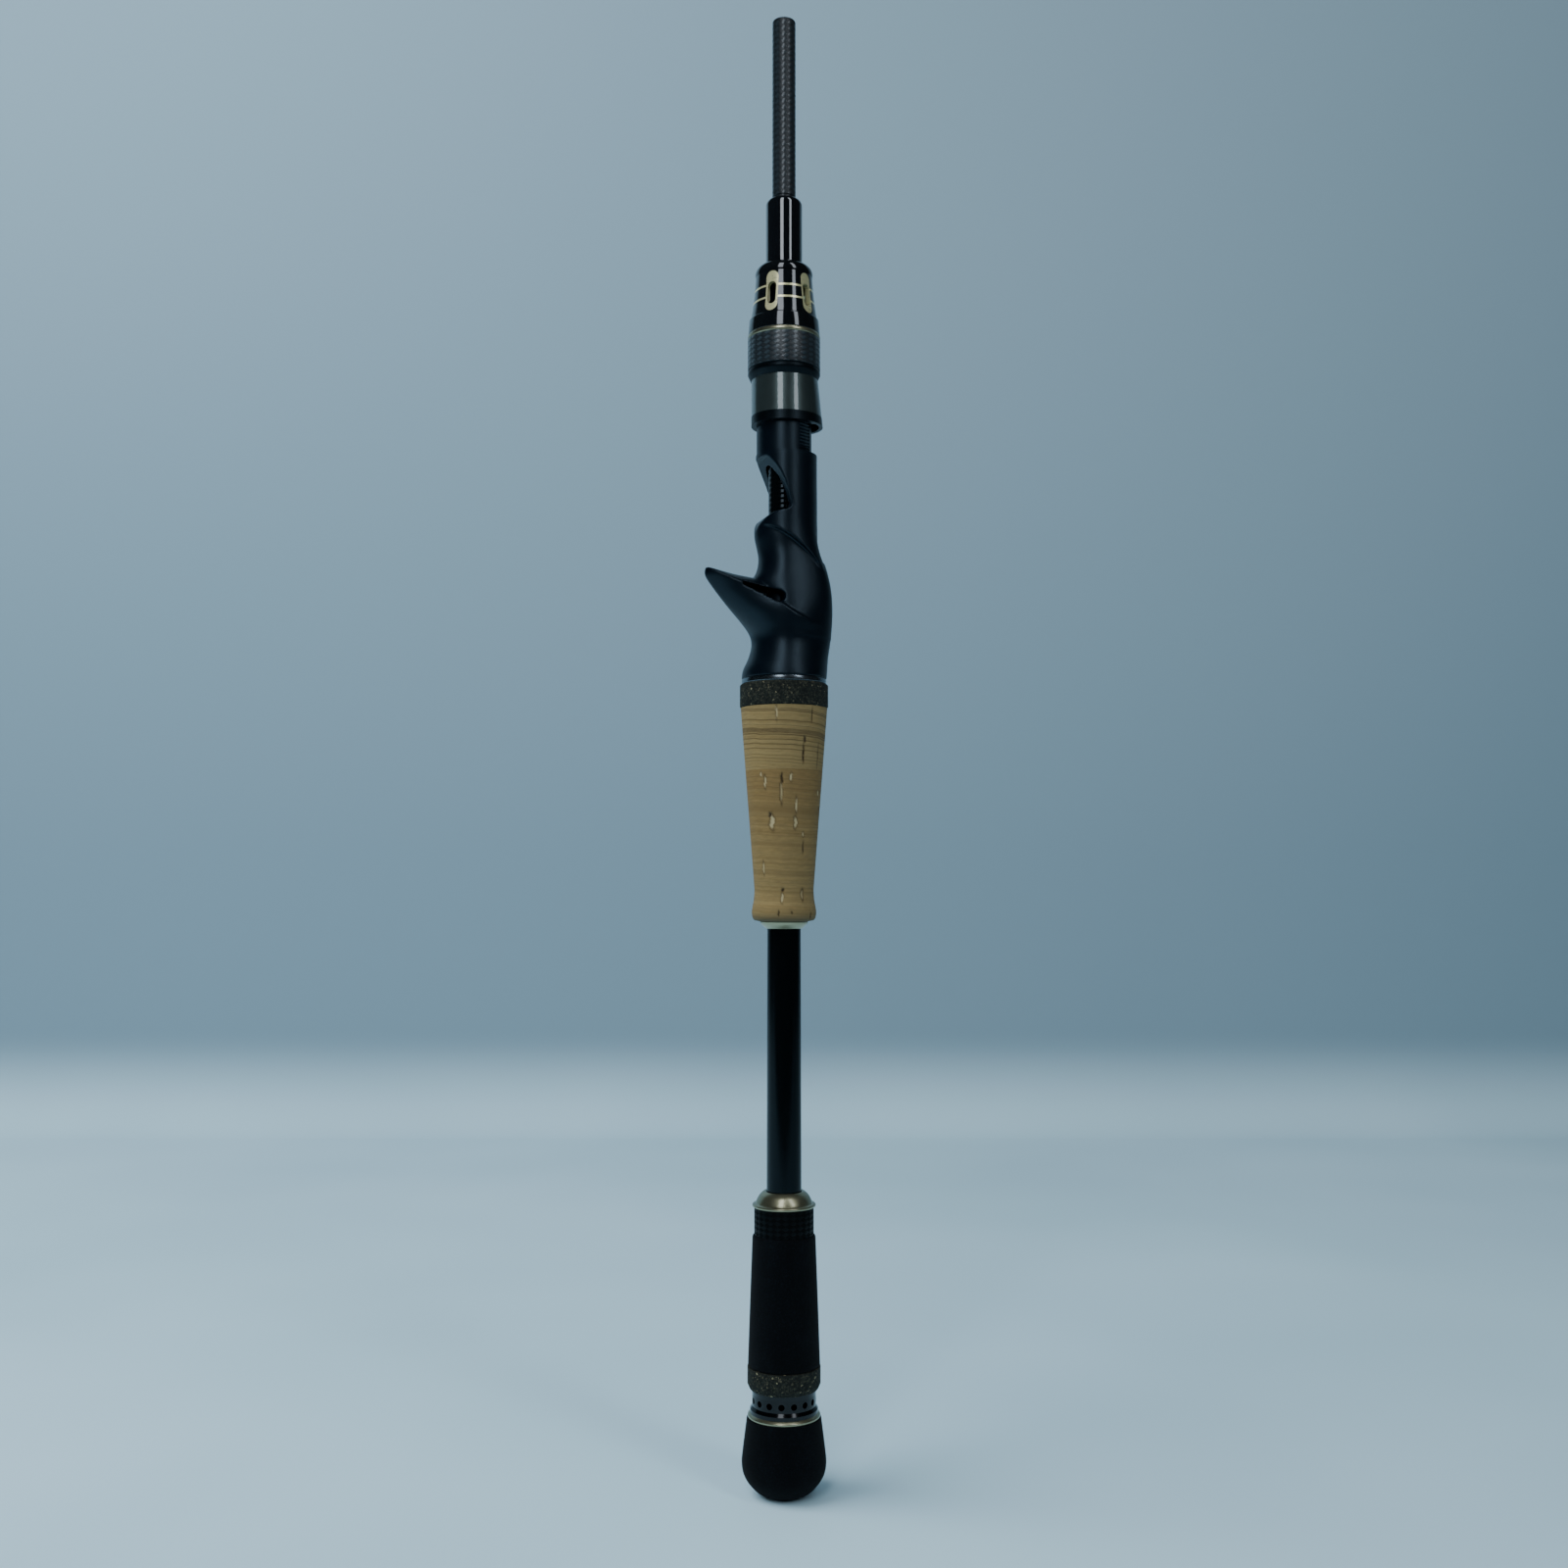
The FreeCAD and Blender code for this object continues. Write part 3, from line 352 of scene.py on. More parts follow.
@dataclass(frozen=True)
class Foam(Finish):
    """Closed-cell EVA foam, ground to shape: dead matte black with a fine sanded grain."""

    cell: float = 0.45
    cell_depth: float = 0.06
    patch: Point = (9.0, 14.0)
    # Colour of the painted shade inside the opened cells.
    deep: str = "010203"
    # Colour of the painted highlight on the cells' rims, and of the pale patches of handling.
    dust: str = "0f1419"

    def detail(self, tree: Tree, shader: bpy.types.Node) -> None:
        """Opened cells, drawn coarse enough to see, with painted shade in them and a painted
        highlight on their rims, over soft patches of handling.
        """
        cells = add_node(tree, "TexVoronoi", {"feature": "F1"},
                         {"Vector": stretched(tree, self.cell, self.cell), "Scale": 1.0})
        grain = clouded(tree, self.cell * 0.5, self.cell * 0.5, 3.0, 0.7)
        height = reckon(tree, "MULTIPLY_ADD", cells.outputs["Distance"], 0.6,
                        ("MULTIPLY", grain, 0.6))
        self.relief(tree, shader, height, self.cell_depth)
        patches = clouded(tree, *self.patch, 4.0, 0.6)
        # Painted shade and highlight: the colour follows the cells' height, mixed with patches of
        # handling.
        tone = reckon(tree, "MULTIPLY_ADD", height, 0.5, ("MULTIPLY", patches, 0.5))
        colour = shades(tree, tone, [(0.25, self.deep), (0.55, self.colour), (0.9, self.dust)])
        tree.links.new(colour, shader.inputs["Base Color"])
        shader.inputs["Sheen Weight"].default_value = 0.02
        shader.inputs["Sheen Roughness"].default_value = 0.6


@dataclass(frozen=True)
class RubberCork(Finish):
    """Cork granules bound in black rubber: a dark speckle with a few tan and olive chips."""

    chip: float = 0.55
    warp: float = 1.2
    gap: float = 0.12
    grit: float = 0.3
    depth: float = 0.07

    def detail(self, tree: Tree, shader: bpy.types.Node) -> None:
        """Angular granules of mixed colours with dull rubber between them."""
        warp = clouded(tree, self.warp, self.warp, 2.0)
        place = stretched(tree, self.chip, self.chip)
        bent = add_node(tree, "VectorMath", {"operation": "ADD"}, {0: place, 1: warp}).outputs[0]
        chips = add_node(tree, "TexVoronoi", {"feature": "F1"}, {"Vector": bent, "Scale": 1.0})
        edge = add_node(tree, "TexVoronoi", {"feature": "DISTANCE_TO_EDGE"},
                        {"Vector": bent, "Scale": 1.0}).outputs["Distance"]
        pick = add_node(tree, "SeparateColor", inputs={0: chips.outputs["Color"]}).outputs[0]
        colour = shades(tree, pick, [(0.0, "141612"), (0.4, "21231d"), (0.7, "2d2e25"),
                                     (0.92, "3a392d"), (0.975, "4f4a3a"), (1.0, "8f8769")])
        gap = add_node(tree, "MapRange", inputs={"Value": edge, "From Max": self.gap}
                       ).outputs["Result"]
        mixed = add_node(tree, "Mix", {"data_type": "RGBA"},
                         {0: gap, 6: linear(self.colour), 7: colour}).outputs[2]
        tree.links.new(mixed, shader.inputs["Base Color"])
        grain = clouded(tree, self.grit, self.grit, 3.0)
        self.relief(tree, shader, reckon(tree, "MULTIPLY_ADD", gap, 0.6, grain), self.depth)


@dataclass(frozen=True)
class Cork(Finish):
    """Natural bark cork, turned and sanded: warm tan with growth lines and dark lenticels.

    Heights are in millimetres up the rod. Growth lines are a millimetre apart, wander by sway
    lines round the grip, and climb by tilt lines for each metre across it.
    """

    sway: float = 2.4
    tilt: float = 55.0
    seam: float = 209.8
    lined: Point = (206.0, 218.0)
    warmed: Point = (170.0, 209.8)
    # Heights over which the grip is coloured darker towards its foot.
    darkened_foot: Point = (165.2, 168.0)
    grit: Point = (0.5, 0.35)
    depth: float = 0.05

    def detail(self, tree: Tree, shader: bpy.types.Node) -> None:
        """Growth lines round the grip, a paler block above the seam, and the pits' colours."""
        parts = axes(tree)
        height = parts["Z"]
        wander = clouded(tree, 16.0, 40.0, 2.0)
        bands = reckon(tree, "ADD", ("MULTIPLY_ADD", wander, self.sway, ("DIVIDE", height, MM)),
                       ("MULTIPLY", parts["X"], self.tilt))
        years = add_node(tree, "CombineXYZ", inputs={2: bands}).outputs[0]
        growth = add_node(tree, "TexNoise", inputs={"Vector": years, "Scale": 0.62, "Detail": 5.0,
                                                    "Roughness": 0.62}).outputs["Fac"]
        fine = clouded(tree, 2.6, 0.5, 5.0, 0.65)
        lines = add_node(tree, "TexNoise", inputs={"Vector": years, "Scale": 0.36, "Detail": 1.0}
                         ).outputs["Fac"]
        line = reckon(tree, "COMPARE", lines, 0.5, 0.018)
        upper = self.climb(tree, height, self.lined, 0.35, 1.3)
        mark = reckon(tree, "MINIMUM", ("MULTIPLY", ("MULTIPLY", line, upper), fine), 0.9)
        warm = reckon(tree, "MULTIPLY", ("LESS_THAN", height, self.seam * MM),
                      self.climb(tree, height, self.warmed, 0.1, 0.6))
        # The grip is coloured darker towards its rounded foot.
        foot_darkening = self.climb(tree, height, self.darkened_foot, 0.75, 0.0)
        rim, fill = (add_node(tree, "Attribute", {"attribute_name": name}).outputs["Fac"]
                     for name in ("pit_rim", "pit_fill"))
        body = shades(tree, growth, [(0.26, "80683f"), (0.42, "977f52"), (0.58, "a18a5c"),
                                     (0.8, "b09868")])
        grey = shades(tree, fine, [(0.25, "585248"), (0.75, "a8a294")])
        for way, share, tint in (
                ("OVERLAY", 0.5, grey), ("MIX", mark, linear("4d3b22")),
                ("MULTIPLY", warm, linear("dcc8b2")), ("MIX", foot_darkening, linear("4a4132")),
                ("MIX", fill, linear("b9a67c")), ("MIX", rim, linear("352611"))):
            body = add_node(tree, "Mix", {"data_type": "RGBA", "blend_type": way},
                            {0: share, 6: body, 7: tint}).outputs[2]
        tree.links.new(body, shader.inputs["Base Color"])
        grain = clouded(tree, *self.grit, 4.0, 0.7)
        self.relief(tree, shader, reckon(tree, "MULTIPLY_ADD", line, -0.4, grain), self.depth)

    @staticmethod
    def climb(tree: Tree, height: Socket, span: Point, low: float, high: float) -> Socket:
        """Value that goes from low to high between two heights in millimetres."""
        sizes = {"Value": height, "From Min": span[0] * MM, "From Max": span[1] * MM,
                 "To Min": low, "To Max": high}
        return add_node(tree, "MapRange", inputs=sizes).outputs["Result"]


@dataclass(frozen=True)
class TurnedAlloy(Finish):
    """Aluminium turned on a lathe and anodised: fine lines round the part, a silky gleam."""

    line: float = 0.18
    depth: float = 0.002
    smear: float = 3.0

    def detail(self, tree: Tree, shader: bpy.types.Node) -> None:
        """Tool lines round the part, drawn coarse enough to show, and faint handling marks."""
        lines = clouded(tree, 12.0, self.line, 2.0)
        self.relief(tree, shader, lines, self.depth)
        smear = clouded(tree, self.smear, self.smear, 4.0, 0.65)
        blend = reckon(tree, "MULTIPLY_ADD", lines, 0.4, ("MULTIPLY", smear, 0.6))
        self.spread(tree, shader, blend, self.roughness * 0.7, self.roughness * 1.5)
        self.tinge(tree, shader, smear, 0.82, 1.0)


@dataclass(frozen=True)
class SoftTouch(Finish):
    """Carbon-filled nylon, moulded with a spark-eroded grain: deep navy, dry satin."""

    grain: float = 0.3
    grain_depth: float = 0.012
    cloud: Point = (8.0, 12.0)
    light: str = "26303d"

    def detail(self, tree: Tree, shader: bpy.types.Node) -> None:
        """Fine mould grain, slow variations of sheen, and edges polished by the hand."""
        grain = clouded(tree, self.grain, self.grain, 4.0, 0.7)
        self.relief(tree, shader, grain, self.grain_depth)
        cloud = clouded(tree, *self.cloud, 3.0, 0.55)
        self.spread(tree, shader, cloud, self.roughness * 0.85, self.roughness * 1.2)
        tone = reckon(tree, "MULTIPLY_ADD", grain, 0.3, ("MULTIPLY", cloud, 0.4))
        edge = add_node(tree, "MapRange", inputs={
            "Value": add_node(tree, "NewGeometry").outputs["Pointiness"],
            "From Min": 0.53, "From Max": 0.62, "To Min": 0.0, "To Max": 0.45}).outputs["Result"]
        colour = shades(tree, reckon(tree, "ADD", tone, edge),
                        [(0.1, self.colour), (1.0, self.light)])
        tree.links.new(colour, shader.inputs["Base Color"])


class Stuff(Enum):
    """The finishes of this rod, by what each surface is."""

    # Sprayed gloss on the foregrip: mirror highlights with soft edges.
    LACQUER = Lacquer("gloss_lacquer_black", "05080a", 0.09, ior=1.45, coat=0.6,
                      coat_roughness=0.04)
    # Thin lacquer on carbon: thin bright streaks on black.
    BLANK = TapedBlank("blank_lacquer_black", "010304", 0.13, ior=1.3, gleam="cfe4f0")
    # Epoxy brushed over thread: the glossiest of all, with slight waves.
    THREAD = Lacquer("varnished_thread_wrap", "05070a", 0.06, coat=1.0, peel=2.0, peel_depth=0.008)
    # Braided sleeves under a thin resin skin: a satin chequer of painted sheen and painted shade,
    # palest on the lock nut.
    BRAID = Braid("carbon_braid_satin", "080b0d", 0.36, light="343e43", coat=0.15,
                  coat_roughness=0.25)
    DARK_BRAID = Braid("carbon_braid_rear", "010202", 0.6, ior=1.2, light="04080a")
    SPIGOT = Braid("carbon_braid_spigot", "0a0e10", 0.42, tows=10, pitch=1.9, light="272f33",
                   coat=0.1, coat_roughness=0.3)
    # Ground foam: swallows nearly all the light.
    FOAM = Foam("eva_foam_ground", "030507", 1.0, ior=1.2)
    # Cork chips in rubber, and bark cork: both dry, without a highlight.
    RUBBER_CORK = RubberCork("rubberised_cork", "0b0d0b", 0.9, ior=1.35)
    CORK = Cork("natural_cork_sanded", "96805a", 0.82, ior=1.4)
    # Turned and dyed aluminium: a pale champagne glow that fades to olive at the sides.
    GOLD = TurnedAlloy("champagne_anodised_aluminium", "a8a384", 0.3, metallic=0.95, coat=0.4,
                       coat_roughness=0.05)
    # Blasted casting: paler and flatter than the turned rings.
    BEZEL = TurnedAlloy("champagne_bead_blasted_zinc", "f0e7b0", 0.26, metallic=0.6, coat=0.6,
                        coat_roughness=0.05)
    # Polished aluminium: a bright line against the dark seat.
    SILVER = TurnedAlloy("bright_turned_aluminium", "868f96", 0.2, metallic=1.0)
    # Dyed grey-green under a clear coat: two sharp streaks over a soft one.
    GUNMETAL = TurnedAlloy("gunmetal_anodised_aluminium", "475250", 0.3, metallic=0.75, coat=1.0,
                           coat_roughness=0.04)
    # The black dye hides the metal, so what shines is only the oxide skin.
    BLACK_ANODISED = TurnedAlloy("black_anodised_aluminium", "020304", 0.12, ior=1.4)
    # Filled nylon: navy black with broad soft highlights, shinier where it is rubbed.
    NYLON = SoftTouch("moulded_nylon_navy", "01050b", 0.36, ior=1.45, light="050e16",
                      gleam="bcd6e6")
    RIM = SoftTouch("moulded_nylon_polished", "020405", 0.34, ior=1.35, light="070c10",
                    gleam="b4cddc")
    # What is inside: cream foam arbors and plain black plastic.
    ARBOR = Foam("polyurethane_arbor_foam", "8b8064", 0.9, ior=1.35, deep="6f6650", dust="a39a7c")
    PLUG = SoftTouch("moulded_plastic_black", "0b0c0e", 0.4, light="1a1c1f")

    @property
    def material(self) -> bpy.types.Material:
        """The material of this finish."""
        return self.value.material()


# ---------------------------------------------------------------- hand tools

def clear_selection() -> None:
    """Leave edit mode and deselect everything."""
    if bpy.context.object and bpy.context.object.mode != "OBJECT":
        bpy.ops.object.mode_set(mode="OBJECT")
    bpy.ops.object.select_all(action="DESELECT")


def take(piece: Piece) -> None:
    """Select one piece alone and make it active."""
    clear_selection()
    piece.select_set(True)
    bpy.context.view_layer.objects.active = piece


def apply_modifier(piece: Piece, kind: str, **settings) -> None:
    """Add a modifier to a piece, set it, and apply it at once.

    Args:
        piece: What gets the modifier.
        kind: The modifier's type.
        settings: Its properties.
    """
    take(piece)
    tool = piece.modifiers.new(kind.lower(), kind)
    for key, value in settings.items():
        setattr(tool, key, value)
    bpy.ops.object.modifier_apply(modifier=tool.name)


def smooth(piece: Piece, angle: float = 32.0) -> None:
    """Shade a piece smooth, but for edges sharper than the angle in degrees."""
    take(piece)
    bpy.ops.object.shade_smooth_by_angle(angle=math.radians(angle))


def lifted(points: Sequence[Point], base: float) -> list[Point]:
    """Section points with their heights measured from a base, both in millimetres."""
    return [(radius, base + height) for radius, height in points]


def rounded(corners: Sequence[Point], per_span: int = 6) -> list[Point]:
    """Put a smooth curve through a run of section points.

    Args:
        corners: Radius and height of each point, in millimetres.
        per_span: Points laid between two given ones.

    Returns:
        The curve's points, first and last as given.
    """
    ends = [corners[0], *corners, corners[-1]]
    line: list[Point] = []
    for before, here, there, after in zip(ends, ends[1:], ends[2:], ends[3:]):
        for step in range(per_span):
            t = step / per_span
            line.append(tuple(
                0.5 * (2 * b + (c - a) * t + (2 * a - 5 * b + 4 * c - d) * t * t
                       + (3 * b - a - 3 * c + d) * t ** 3)
                for a, b, c, d in zip(before, here, there, after)))
    return [*line, corners[-1]]


@dataclass
class Lathe:
    """Turns sections round the rod's axis."""

    steps: int = 128
    weld: float = 1e-6
    sharp: float = 35.0

    def turn(self, name: str, section: Sequence[Point], edge: float,
             steps: int | None = None) -> Piece:
        """Spin a closed section into a ring or a solid, and break its sharp edges.

        Args:
            name: Name of the piece.
            section: Radius and height of its corners, in millimetres, once round.
            edge: Width of the broken edges in millimetres, 0 for none.
            steps: Facets round the piece, if not as many as usual.

        Returns:
            The piece, at the origin, with its place in its mesh.
        """
        clear_selection()
        bpy.ops.mesh.primitive_plane_add(size=MM, location=(0, 0, 0))
        piece = bpy.context.object
        piece.name = piece.data.name = name
        bpy.ops.object.mode_set(mode="EDIT")
        bpy.ops.mesh.select_all(action="SELECT")
        bpy.ops.mesh.merge(type="CENTER")
        here = (0.0, 0.0)
        for number, corner in enumerate([*section, section[0]]):
            shift = ((corner[0] - here[0]) * MM, 0.0, (corner[1] - here[1]) * MM)
            if number:
                bpy.ops.mesh.extrude_region_move(TRANSFORM_OT_translate={"value": shift})
            else:
                bpy.ops.transform.translate(value=shift)
            here = corner
        bpy.ops.mesh.select_all(action="SELECT")
        bpy.ops.mesh.spin(steps=steps or self.steps, angle=2 * math.pi, center=(0, 0, 0),
                          axis=(0, 0, 1))
        bpy.ops.mesh.select_all(action="SELECT")
        bpy.ops.mesh.remove_doubles(threshold=self.weld)
        bpy.ops.mesh.delete_loose(use_verts=True, use_edges=True, use_faces=False)
        bpy.ops.mesh.select_all(action="SELECT")
        bpy.ops.mesh.normals_make_consistent(inside=False)
        bpy.ops.object.mode_set(mode="OBJECT")
        if edge:
            apply_modifier(piece, "BEVEL", width=edge * MM, segments=3, limit_method="ANGLE",
                           angle_limit=math.radians(self.sharp), use_clamp_overlap=True)
        smooth(piece)
        return piece


@dataclass(frozen=True)
class Ring:
    """A ring to turn in place of a CAD node, with a straight bore. Sizes are in millimetres.

    Its outer side runs from the points of low, whose heights are measured from the node's foot,
    to those of high, measured from its top. With spans it is a curve with that many points in
    each span.
    """

    name: str
    node: str
    slot: str
    stuff: Stuff
    bore: float
    low: tuple[Point, ...]
    high: tuple[Point, ...]
    edge: float
    spans: int = 0


@dataclass
class SubAssembly:
    """One group of pieces that a rod builder would make up together."""

    frame: dict
    lathe: Lathe = field(default_factory=Lathe)
    body: str = "handle"

    def stand_for(self, piece: Piece, nodes: Sequence[str], slot: str, stuff: Stuff) -> None:
        """Give a modelled piece its finish, its body, and the CAD nodes it stands for.

        Args:
            piece: The modelled piece.
            nodes: CAD nodes that it hides.
            slot: Material slot of the record; not used.
            stuff: Its finish.
        """
        piece.data.materials.clear()
        piece.data.materials.append(stuff.material)
        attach(piece, self.body)
        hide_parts(*nodes)
        LOG.info("%s: modelled, %d faces", piece.name, len(piece.data.polygons))

    def turn_ring(self, ring: Ring) -> None:
        """Turn a ring, and let it stand for its CAD node."""
        foot, top = self.foot(ring.node), self.top(ring.node)
        side = [*lifted(ring.low, foot), *lifted(ring.high, top)]
        if ring.spans:
            side = rounded(side, ring.spans)
        piece = self.lathe.turn(ring.name, [(ring.bore, foot), *side, (ring.bore, top)], ring.edge)
        self.stand_for(piece, [ring.node], ring.slot, ring.stuff)

    def dress(self, node: str, stuff: Stuff) -> None:
        """Give a CAD node a better finish."""
        piece = self.frame["nodes"][node]
        for slot in piece.material_slots:
            slot.material = stuff.material
        LOG.info("%s: CAD shape, %s", node, stuff.material.name)

    def foot(self, node: str) -> float:
        """Height of a CAD node's lower end, in millimetres."""
        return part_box(node)[0].z / MM

    def top(self, node: str) -> float:
        """Height of a CAD node's upper end, in millimetres."""
        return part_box(node)[1].z / MM


# ---------------------------------------------------------------- the whole handle

@dataclass
class RearHandle(SubAssembly):
    """Foam cap, spacer ring and rear grip behind the bare blank."""

    cap_side: tuple[Point, ...] = ((5.0, 0.0), (7.9, 1.3), (10.35, 3.75), (11.8, 6.3), (12.28, 9.2),
                                   (12.05, 12.2), (11.5, 16.6), (10.8, 22.0))
    cap_shoulder: float = 10.6
    cap_bore: float = 5.39
    cap_bore_foot: float = 5.96
    grip_low: float = 10.5
    grip_high: float = 9.2
    grip_bulge: float = 0.02
    grip_bore: float = 5.31
    foam_round: float = 0.7
    check_bore: float = 5.22
    check_lip: tuple[Point, ...] = ((8.95, 0.0), (9.24, 0.2), (9.3, 0.48), (9.2, 0.78), (8.9, 0.98),
                                    (8.45, 1.06))
    check_dome: tuple[Point, ...] = ((8.3, 1.12), (8.12, 1.7), (7.75, 2.5), (7.15, 3.4),
                                     (6.5, 4.05))
    check_mouth: float = 5.9
    rings: tuple[Ring, ...] = (
        Ring("butt_gilt_ring", "butt_gold_ring", "gold_alloy", Stuff.GOLD, bore=5.36,
             low=((10.3, 0.0), (10.6, 0.3), (10.6, 0.75)), high=((9.95, 0.0),), edge=0.14),
        Ring("butt_rubber_cork", "butt_cork_ring", "rubber_cork", Stuff.RUBBER_CORK, bore=5.36,
             low=((9.95, 0.0), (10.64, 1.5)), high=((10.64, 0.0),), edge=0.22),
        Ring("rear_braid_band", "rear_carbon_ring", "carbon_weave", Stuff.DARK_BRAID, bore=5.24,
             low=((8.7, 0.0),), high=((8.7, 0.0),), edge=0.2),
    )

    def build(self) -> None:
        """Model and dress every piece of the rear handle."""
        self.foam_cap()
        self.foam_grip()
        for ring in self.rings:
            self.turn_ring(ring)
        self.check()
        self.dress("butt_spacer_ring", Stuff.BLACK_ANODISED)
        self.dress("butt_plug", Stuff.PLUG)
        self.dress("rod_blank", Stuff.BLANK)

    def foam_cap(self) -> None:
        """Bulb of ground foam with a small flat to stand on, bored from above for the blank."""
        top = self.top("butt_cap")
        section = [(0.0, 0.0), *rounded(self.cap_side), (self.cap_shoulder, top),
                   (self.cap_bore, top), (self.cap_bore, self.cap_bore_foot),
                   (0.0, self.cap_bore_foot)]
        cap = self.lathe.turn("foam_butt_cap", section, edge=0.25)
        self.stand_for(cap, ["butt_cap"], "eva_foam", Stuff.FOAM)

    def foam_grip(self) -> None:
        """Tapered foam sleeve with rounded ends."""
        foot, top = self.foot("rear_grip"), self.top("rear_grip")
        waist = (self.grip_low + self.grip_high) / 2 + self.grip_bulge
        side = rounded([(self.grip_low, foot), (waist, (foot + top) / 2), (self.grip_high, top)], 8)
        section = [(self.grip_bore, foot), *side, (self.grip_bore, top)]
        grip = self.lathe.turn("foam_rear_grip", section, edge=self.foam_round)
        self.stand_for(grip, ["rear_grip"], "eva_foam", Stuff.FOAM)

    def check(self) -> None:
        """Domed winding check above a rolled lip."""
        foot, top = self.foot("rear_check"), self.top("rear_check")
        lip = rounded(lifted(self.check_lip, foot), 4)
        dome = rounded([*lifted(self.check_dome, foot), (self.check_mouth, top)], 5)
        section = [(self.check_bore, foot), *lip, *dome, (self.check_bore, top)]
        check = self.lathe.turn("domed_winding_check", section, edge=0.08)
        self.stand_for(check, ["rear_check"], "gold_alloy", Stuff.GOLD)


@dataclass(frozen=True)
class Pit:
    """One lenticel in the cork: where it is, how large, and how much of it is filled pale."""

    side: float
    height: float
    half_length: float
    half_width: float
    depth: float
    pale: float

    def reach(self, turn: np.ndarray, height: np.ndarray, radius: np.ndarray) -> np.ndarray:
        """How far points lie from the pit's middle, 1 being its wavering edge.

        Args:
            turn: Degrees round the rod from the side that faces the viewer.
            height: Millimetres up the rod.
            radius: Millimetres from the rod's axis.

        Returns:
            One number for each point.
        """
        sway = 0.25 * np.sin(height * 1.9 + self.side) + 0.12 * np.sin(height * 5.3)
        across = np.radians((turn - self.side + 180.0) % 360.0 - 180.0) * radius
        away = across + sway * self.half_width
        return np.hypot(away / self.half_width, (height - self.height) / self.half_length)

    def effect(self, reach: np.ndarray) -> tuple[np.ndarray, np.ndarray, np.ndarray]:
        """What the pit does to points: a smooth hollow, a dark rim or floor, and a pale filling.

        Args:
            reach: How far the points lie from its middle.

        Returns:
            Millimetres sunk, strength of the dark colour, and strength of the pale one.
        """
        inside = np.clip((1.15 - reach) / 0.55, 0.0, 1.0)
        sink = inside ** 2 * (3 - 2 * inside) * self.depth * (1.0 - 0.6 * self.pale)
        edge = np.exp(-((reach - 1.0) / 0.28) ** 2) * (0.45 + 0.55 * (1.0 - self.pale))
        fill = np.clip((1.0 - reach) / 0.35, 0.0, 1.0) * self.pale
        return sink, inside if self.pale < 0.35 else edge, fill


